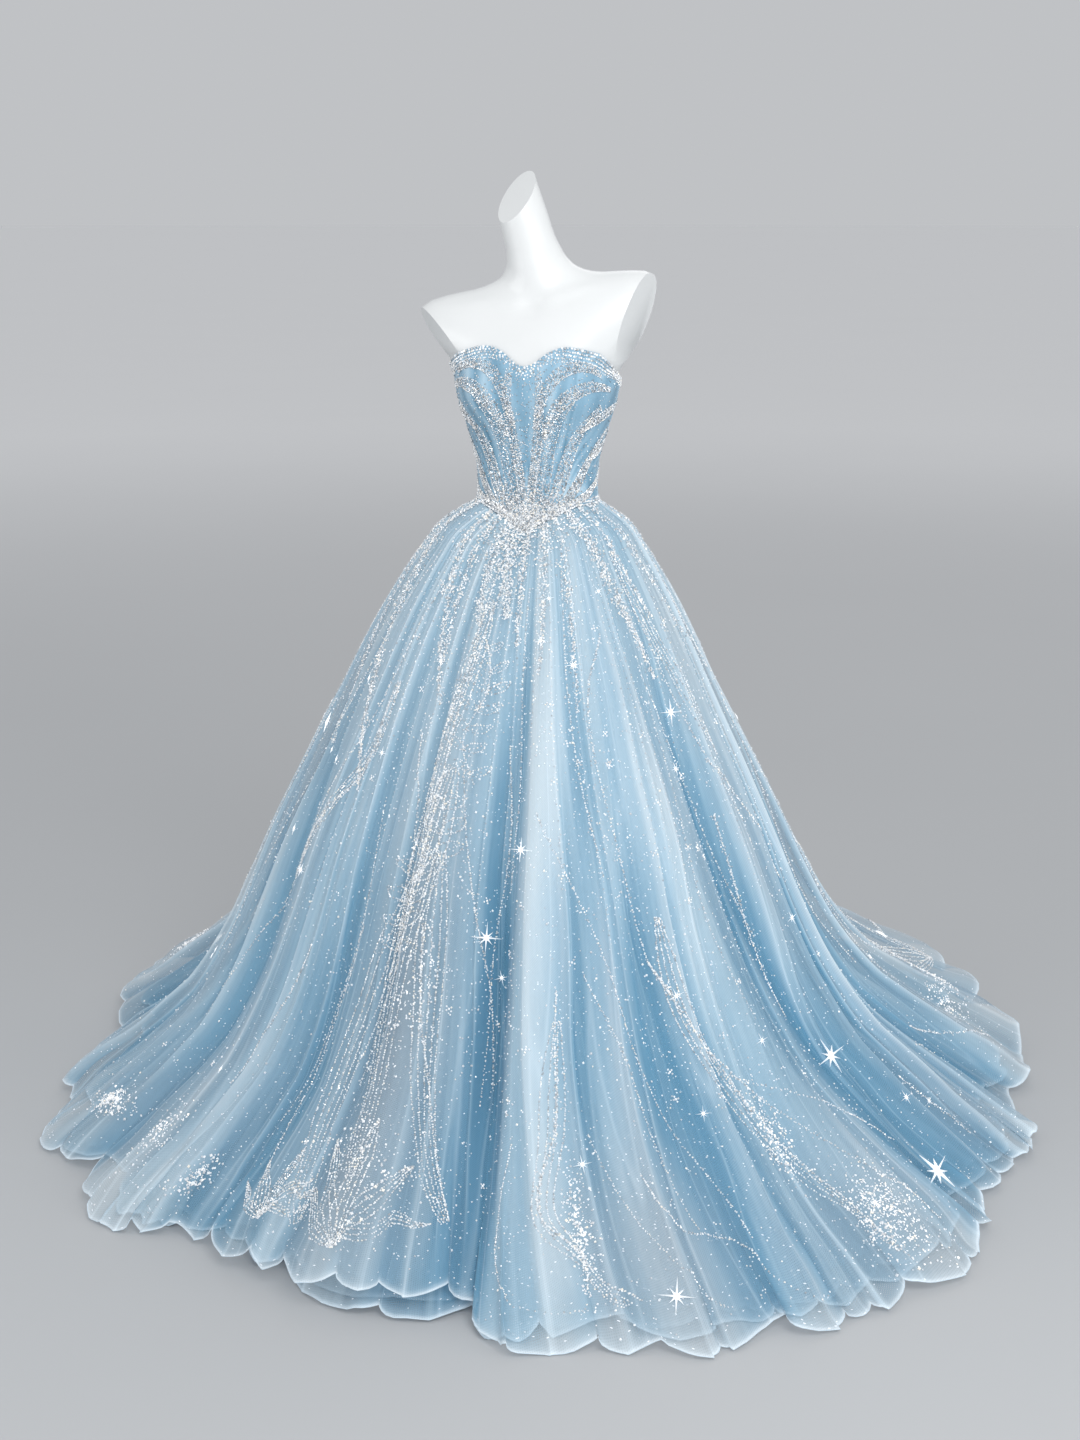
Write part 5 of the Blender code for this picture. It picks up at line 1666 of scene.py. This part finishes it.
def lay_streams(beads, draw):
    for top, top_h, end, end_h, wide_top, wide_end, number in STREAMS:
        number = int(1.2 * number)
        t = draw.uniform(0.0, 1.0, number) ** 1.2
        h = top_h + (end_h - top_h) * t
        turn = turn_of(top + short_way(end - top, 360.0) * t)
        radius, _ = cloth_sizes(beads.cloth, turn, h)
        wide = 1.15 * (wide_top + (wide_end - wide_top) * t) * np.clip(4.0 * t + 0.5, 0.0, 1.0)
        turn = turn + wide * draw.normal(0.0, 0.62, number) / radius
        beads.lay(turn, h, draw.uniform(*STREAM_SIZES, number) * (1.0 - 0.20 * t))
    # beads crowded under the waist's point
    degrees = draw.normal(0.0, 30.0, CROWDED_BEADS)
    h = np.abs(draw.normal(0.0, 0.034, CROWDED_BEADS)) * np.exp(-((degrees / 60.0) ** 2))
    beads.lay(turn_of(degrees), h, draw.uniform(*CROWDED_SIZES, CROWDED_BEADS))


def chains_behind(draw):
    """Rows for the chains on the sides and back, as in the table of those in front."""
    rows = []
    for k in range(CHAINS_BEHIND):
        middle = 108.0 + 7.0 * k + draw.uniform(-2.0, 2.0)
        start = draw.uniform(0.22, 0.50)
        end = min(start + draw.uniform(0.32, 0.50), 0.96)
        sway = draw.uniform(-3.0, 3.0, 4)
        keys = []
        for step in range(4):
            keys += [middle + sway[step], start + (end - start) * step / 3.0]
        rows.append((*keys, draw.uniform(0.0042, 0.0060), 0.0028, draw.uniform(0.002, 0.006)))
    return rows


def lay_chains(beads, draw):
    for row in (*CHAINS, *chains_behind(draw)):
        spacing, size, stray = row[8:]
        t, turn, h, radius, fall, _ = path_on(beads.cloth, row[:8], spacing)
        taper = np.sin(math.pi * t) ** 0.6
        # a straight line of larger beads, and smaller ones that stray from it
        for share, bead_size in ((0.12, 1.25 * size), (1.0, 0.95 * size)):
            off = stray * share * taper * draw.normal(0.0, 0.6, len(t))
            along = draw.uniform(-0.4, 0.4, len(t)) * spacing
            spot = np.clip(h + along / fall, 0.0, 0.998)
            beads.lay(turn + off / radius, spot, bead_size * draw.uniform(0.75, 1.2, len(t)))


def palmette_rows():
    """Rows for the plumes of all the palmettes, as in the table of bands."""
    rows = []
    for direction, foot, size in PALMETTES:
        for plume in PLUMES_OF_ONE:
            keys = []
            for aside, above in zip(plume[0:8:2], plume[1:8:2]):
                keys += [direction + size * aside, foot - size * above]
            rows.append((*keys, size * plume[8], PLUME_ROWS))
    return rows


def lay_bands(beads, draw):
    for rows, blunt in ((BANDS, BAND_BLUNT), (palmette_rows(), PLUME_BLUNT)):
        for row in rows:
            half, lines = row[8:]
            t, turn, h, radius, fall, way = path_on(beads.cloth, row[:8], BAND_SPACING)
            wide = half * (blunt + (1.0 - blunt) * np.sin(math.pi * t**0.85))
            wide = wide * (1.0 + 0.15 * np.sin(9.0 * t))
            for off in np.linspace(-1.0, 1.0, lines):
                slip = draw.uniform(-0.35, 0.35, len(t)) * BAND_SPACING
                beside = wide * off + draw.normal(0.0, BEAD_STRAY, len(t))
                across = way[:, 0] * slip - way[:, 1] * beside
                along = way[:, 1] * slip + way[:, 0] * beside
                place = np.clip(h + along / fall, 0.0, 0.995)
                beads.lay(turn + across / radius, place, draw.uniform(*BAND_SIZES, len(t)))


def lay_loose(beads, draw):
    """Single beads all over the skirt, closer in front, and little flowers of five."""
    degrees = mostly_ahead(draw, LOOSE_BEADS, 0.62, 20.0, 42.0)
    h = draw.uniform(0.02, 0.985, LOOSE_BEADS) ** 0.72
    sizes = draw.choice(LOOSE_SIZES, LOOSE_BEADS, p=LOOSE_SHARES)
    beads.lay(turn_of(degrees), np.clip(h, 0.0, 0.99), sizes)
    degrees = mostly_ahead(draw, FLOWERS, 0.6, 15.0, 38.0)
    for spot, fall in zip(degrees, draw.uniform(0.04, 0.95, FLOWERS)):
        around = TURN * np.arange(4) / 4 + draw.uniform(0.0, TURN)
        across = np.concatenate([[0.0], FLOWER_RADIUS * np.cos(around)])
        along = np.concatenate([[0.0], FLOWER_RADIUS * np.sin(around)])
        beads.lay(*laid_on(beads.cloth, spot, fall, across, along), np.array(FLOWER_SIZES))


def lay_crests(beads, draw):
    """Single rows of small beads down the crests of the folds, most of them in front."""
    for place, size in beads.cloth["crests"][:, :2]:
        degrees = np.degrees(spread_gathers(np.array(place)))
        ahead = abs(short_way(degrees - 10.0, 360.0)) < 88.0
        if draw.uniform() > (0.95 if ahead else 0.55):
            continue
        start = draw.uniform(0.01, 0.10)
        end = start + draw.uniform(0.18, 0.55)
        number = int((end - start) * 1.25 / draw.uniform(0.0075, 0.0120))
        h = np.linspace(start, end, number) + draw.uniform(-0.002, 0.002, number)
        turn = place + draw.normal(0.0, 0.003, number)
        beads.lay(turn, h, draw.uniform(*CREST_SIZES, number) * (0.8 + 0.3 * size))


def lay_patches(beads, draw):
    for degrees, h, half_turn, half_fall, number in PATCHES:
        across = half_turn * draw.normal(0.0, 0.55, number)
        along = half_fall * draw.normal(0.0, 0.50, number)
        turn, place = laid_on(beads.cloth, degrees, h, across, along)
        sizes = draw.choice(PATCH_SIZES, number, p=PATCH_SHARES)
        beads.lay(turn, np.clip(place, 0.0, 0.990), sizes)


def leaf_line(base, angle, length):
    """Beads round a leaf and along its middle: metres beside and below the spray's foot."""
    number = max(int(length / LEAF_SPACING), 4)
    t = (np.arange(number) + 0.5) / number
    half = 0.20 * length * np.sin(math.pi * t) ** 0.8
    along = np.concatenate([t * length, t * length, t[::2] * length * 0.9])
    beside = np.concatenate([half, -half, np.zeros(len(t[::2]))])
    way = np.array([math.sin(angle), -math.cos(angle)])
    cross = np.array([way[1], -way[0]])
    return base + along[:, None] * way + beside[:, None] * cross


def on_stem(share, stem, lean):
    """Places along a spray's bowed stem: metres beside and below its foot."""
    bow = STEM_BOW * np.sin(TURN * share)
    return share * stem * math.sin(lean) + bow, share * stem * math.cos(lean)


def lay_sprays(beads, draw):
    for degrees, h, stem, pairs, leaf, turned in SPRAYS:
        lean = math.radians(turned)
        along = np.arange(0.0, 1.0, STEM_SPACING / stem)
        spots = [np.stack(on_stem(along, stem, lean), axis=1)]
        for k in range(pairs):
            share = (k + 0.6) / pairs
            size = leaf * (0.62 + 0.38 * math.sin(math.pi * share))
            for side in (-1.0, 1.0):
                angle = lean + side * math.radians(46.0 + draw.uniform(-7.0, 7.0))
                length = size * draw.uniform(0.85, 1.1)
                root = np.array(on_stem(share, stem, lean))
                spots.append(leaf_line(root, angle, length))
        spots = np.concatenate(spots)
        spots = spots + draw.normal(0.0, BEAD_STRAY, spots.shape)
        turn, place = laid_on(beads.cloth, degrees, h, spots[:, 0], spots[:, 1])
        beads.lay(turn, place, draw.uniform(*SPRAY_SIZES, len(spots)))


def build_stars(cloth, material):
    """Stiff stars, each laid flat on the folds under it."""
    corners, faces = star_shape()
    draw = np.random.default_rng(808)
    rows = list(STARS)
    for _ in range(STARS_BEHIND):
        rows.append((draw.uniform(100.0, 318.0), draw.uniform(0.12, 0.96) ** 0.8,
                     draw.choice(STAR_SIZES_BEHIND), draw.uniform(-25.0, 25.0)))
    ring = TURN * np.arange(12) / 12

    def ring_round(degrees, h, radius):
        return on_cloth(cloth, *laid_on(cloth, degrees, h, radius * np.cos(ring),
                                        radius * np.sin(ring)))

    all_points = []
    joined = []
    for k, (degrees, h, half, turned) in enumerate(rows):
        # the star lies across the folds for 60 mm round it, clear of the crests right under it
        wide = ring_round(degrees, h, 0.06)
        out = unit(np.cross(np.roll(wide, -1, axis=0), wide).sum(axis=0))
        out = unit(out + (STAR_TIP if k < len(STARS) else 0.0))
        under = ring_round(degrees, h, 0.6 * half)
        first = wide[0] - wide[6]
        first = unit(first - out * first.dot(out))
        second = np.cross(out, first)
        middle = under.mean(axis=0)
        clear = np.clip(((under - middle) @ out).max(), 0.0, 0.8 * half) + 0.0012
        lean = math.radians(turned)
        x, y, z = corners[:, 0:1], corners[:, 1:2], corners[:, 2:3]
        across = half * (x * math.cos(lean) - y * math.sin(lean))
        along = half * (x * math.sin(lean) + y * math.cos(lean))
        all_points.append(middle + first * across + second * along + out * (clear + half * z))
        joined += [[k * len(corners) + corner for corner in face] for face in faces]
    mesh = bpy.data.meshes.new("skirt_stars")
    all_points = np.concatenate(all_points)
    mesh.from_pydata(all_points.tolist(), [], joined)
    paint(mesh, "tint", np.full(len(all_points), 0.7))
    new_piece("skirt_stars", mesh, material)


# ---------------------------------------------------------------- the gown
def rolled_hem(name, cloth, radius, material):
    """The narrow rolled edge of a tulle layer, a thin closed roll along its last row."""
    line = cloth["points"][-1]
    lift = np.zeros_like(line)
    lift[:, 2] = np.maximum(radius + HEM_OFF_FLOOR - line[:, 2], 0.0)
    line = line + lift
    way = unit(np.roll(line, -1, axis=0) - np.roll(line, 1, axis=0))
    aside = unit(np.cross(way, np.array([0.0, 0.0, 1.0])))
    over = np.cross(aside, way)
    angles = [TURN * k / HEM_SIDES for k in range(HEM_SIDES)]
    rings = [line + radius * (aside * math.cos(angle) + over * math.sin(angle)) for angle in angles]
    return new_piece(name, mesh_from_grid(name, np.array(rings), closed_down=True), material)


def build_bodice():
    grid, cloth = bodice_cloth_grid()
    mesh = mesh_from_grid("bodice", grid, closed_down=True, flip=True)
    # painted shading of the bodice's pleats and seams
    paint(mesh, "painted_fold_shading", bodice_fold_shading())
    satin = satin_finish("bodice_satin", BODICE_BLUES, weave_scale=1100.0)
    cover = new_piece("bodice", mesh, satin)
    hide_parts("bodice_front_centre", "bodice_side_front_left", "bodice_side_front_right",
                "bodice_back_left", "bodice_back_right")
    return cover, cloth


def build_layer(name, layer, material, slot, *sides):
    """One layer of the skirt, which takes the place of the CAD nodes of its gores."""
    cloth = skirt_cloth(layer)
    mesh = mesh_from_grid(name, cloth["points"])
    paint_cloth(mesh, cloth)
    piece = new_piece(name, mesh, material)
    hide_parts(*sides)
    return cloth, piece


def build_gown():
    outer = tulle_finish("overskirt_tulle", OVERSKIRT_BLUES, alpha=0.36, side_gain=0.30,
                         line_gain=0.36, edge_gain=0.40, veil_loss=0.04)
    inner = tulle_finish("layer_tulle", LAYER_BLUES, alpha=0.46, side_gain=0.28,
                         line_gain=0.34, edge_gain=0.36, veil_loss=0.08)
    satin = satin_finish("underskirt_satin", UNDERSKIRT_BLUES, weave_scale=900.0)
    thread = thread_finish()
    silver, pale, bright, star_white = (bead_finish(*row) for row in BEAD_FINISHES)

    bodice, bodice_cloth = build_bodice()
    skirt, overskirt = build_layer(
        "overskirt", OVERSKIRT, outer, "overskirt_tulle", "overskirt_front",
        "overskirt_front_left", "overskirt_back_left", "overskirt_back", "overskirt_back_right",
        "overskirt_front_right")
    tulle_gores = ("tulle_layer_front", "tulle_layer_left", "tulle_layer_back", "tulle_layer_right")
    outer_ply, tulle_layer = build_layer(
        "tulle_layer", TULLE_LAYER, inner, "layer_tulle", *tulle_gores)
    inner_ply, tulle_layer_inner_ply = build_layer(
        "tulle_layer_inner_ply", INNER_PLY, inner, "layer_tulle", *tulle_gores)
    _, underskirt = build_layer(
        "underskirt", UNDERSKIRT, satin, "underskirt_satin", "underskirt_front",
        "underskirt_left", "underskirt_back", "underskirt_right")
    overskirt_hem = rolled_hem("overskirt_hem", skirt, 0.0007, thread)
    outer_ply_hem = rolled_hem("tulle_layer_hem", outer_ply, 0.0006, thread)
    inner_ply_hem = rolled_hem("tulle_layer_inner_ply_hem", inner_ply, 0.0006, thread)

    bead = seed_bead()
    bodice_beadwork(bodice_cloth, bead, crystal(), silver, pale)
    draw = np.random.default_rng(404)
    for name, lay, material in (
        ("skirt_streams", lay_streams, pale), ("skirt_chains", lay_chains, pale),
        ("skirt_bands", lay_bands, pale), ("skirt_crest_beads", lay_crests, pale),
        ("skirt_loose_beads", lay_loose, bright), ("skirt_patches", lay_patches, bright),
        ("skirt_leaf_sprays", lay_sprays, pale),
    ):
        beads = Beading(skirt)
        lay(beads, draw)
        beads.sew(name, bead, draw.integers(1, 9999), material)
    build_stars(skirt, star_white)


# ---------------------------------------------------------------- stand and studio
def finish_stand():
    steel = brushed_steel_finish()
    for name in ("stand_base", "stand_pole", "stand_collar"):
        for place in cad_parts[name].material_slots:
            place.material = steel


def put_in_scene(name, data, place, rotation):
    holder = bpy.data.objects.new(name, data)
    holder.location = place
    holder.rotation_euler = rotation
    bpy.context.scene.collection.objects.link(holder)
    return holder


def build_studio():
    nothing_selected()
    bpy.ops.mesh.primitive_circle_add(vertices=96, radius=FLOOR_RADIUS, fill_type="NGON")
    floor = bpy.context.object
    floor.name = "studio_floor"
    floor.data.materials.append(floor_finish())
    world = bpy.data.worlds.new("studio_air")
    world.use_nodes = True
    air = world.node_tree.nodes["Background"]
    air.inputs["Color"].default_value = colour(AIR)
    air.inputs["Strength"].default_value = AIR_STRENGTH
    bpy.context.scene.world = world
    for name, place, size, energy in LIGHTS:
        lamp = bpy.data.lights.new(name, "AREA")
        lamp.size = size
        lamp.energy = energy
        aim = Vector(LIGHTS_AIM) - Vector(place)
        put_in_scene(name, lamp, place, aim.to_track_quat("-Z", "Y").to_euler())


def place_camera():
    azimuth = math.radians(CAMERA_AZIMUTH)
    view = bpy.data.cameras.new("camera")
    view.sensor_width = 36.0
    view.lens = CAMERA_LENS
    place = (
        CAMERA_DISTANCE * math.sin(azimuth) + CAMERA_ASIDE * math.cos(azimuth),
        -CAMERA_DISTANCE * math.cos(azimuth) + CAMERA_ASIDE * math.sin(azimuth),
        CAMERA_HEIGHT,
    )
    rotation = (math.radians(90.0 - CAMERA_DOWN), 0.0, azimuth)
    bpy.context.scene.camera = put_in_scene("camera", view, place, rotation)


scene = bpy.context.scene
scene.view_settings.view_transform = "Standard"
scene.cycles.transparent_max_bounces = 20
place_camera()
build_studio()
build_form()
finish_stand()
build_gown()
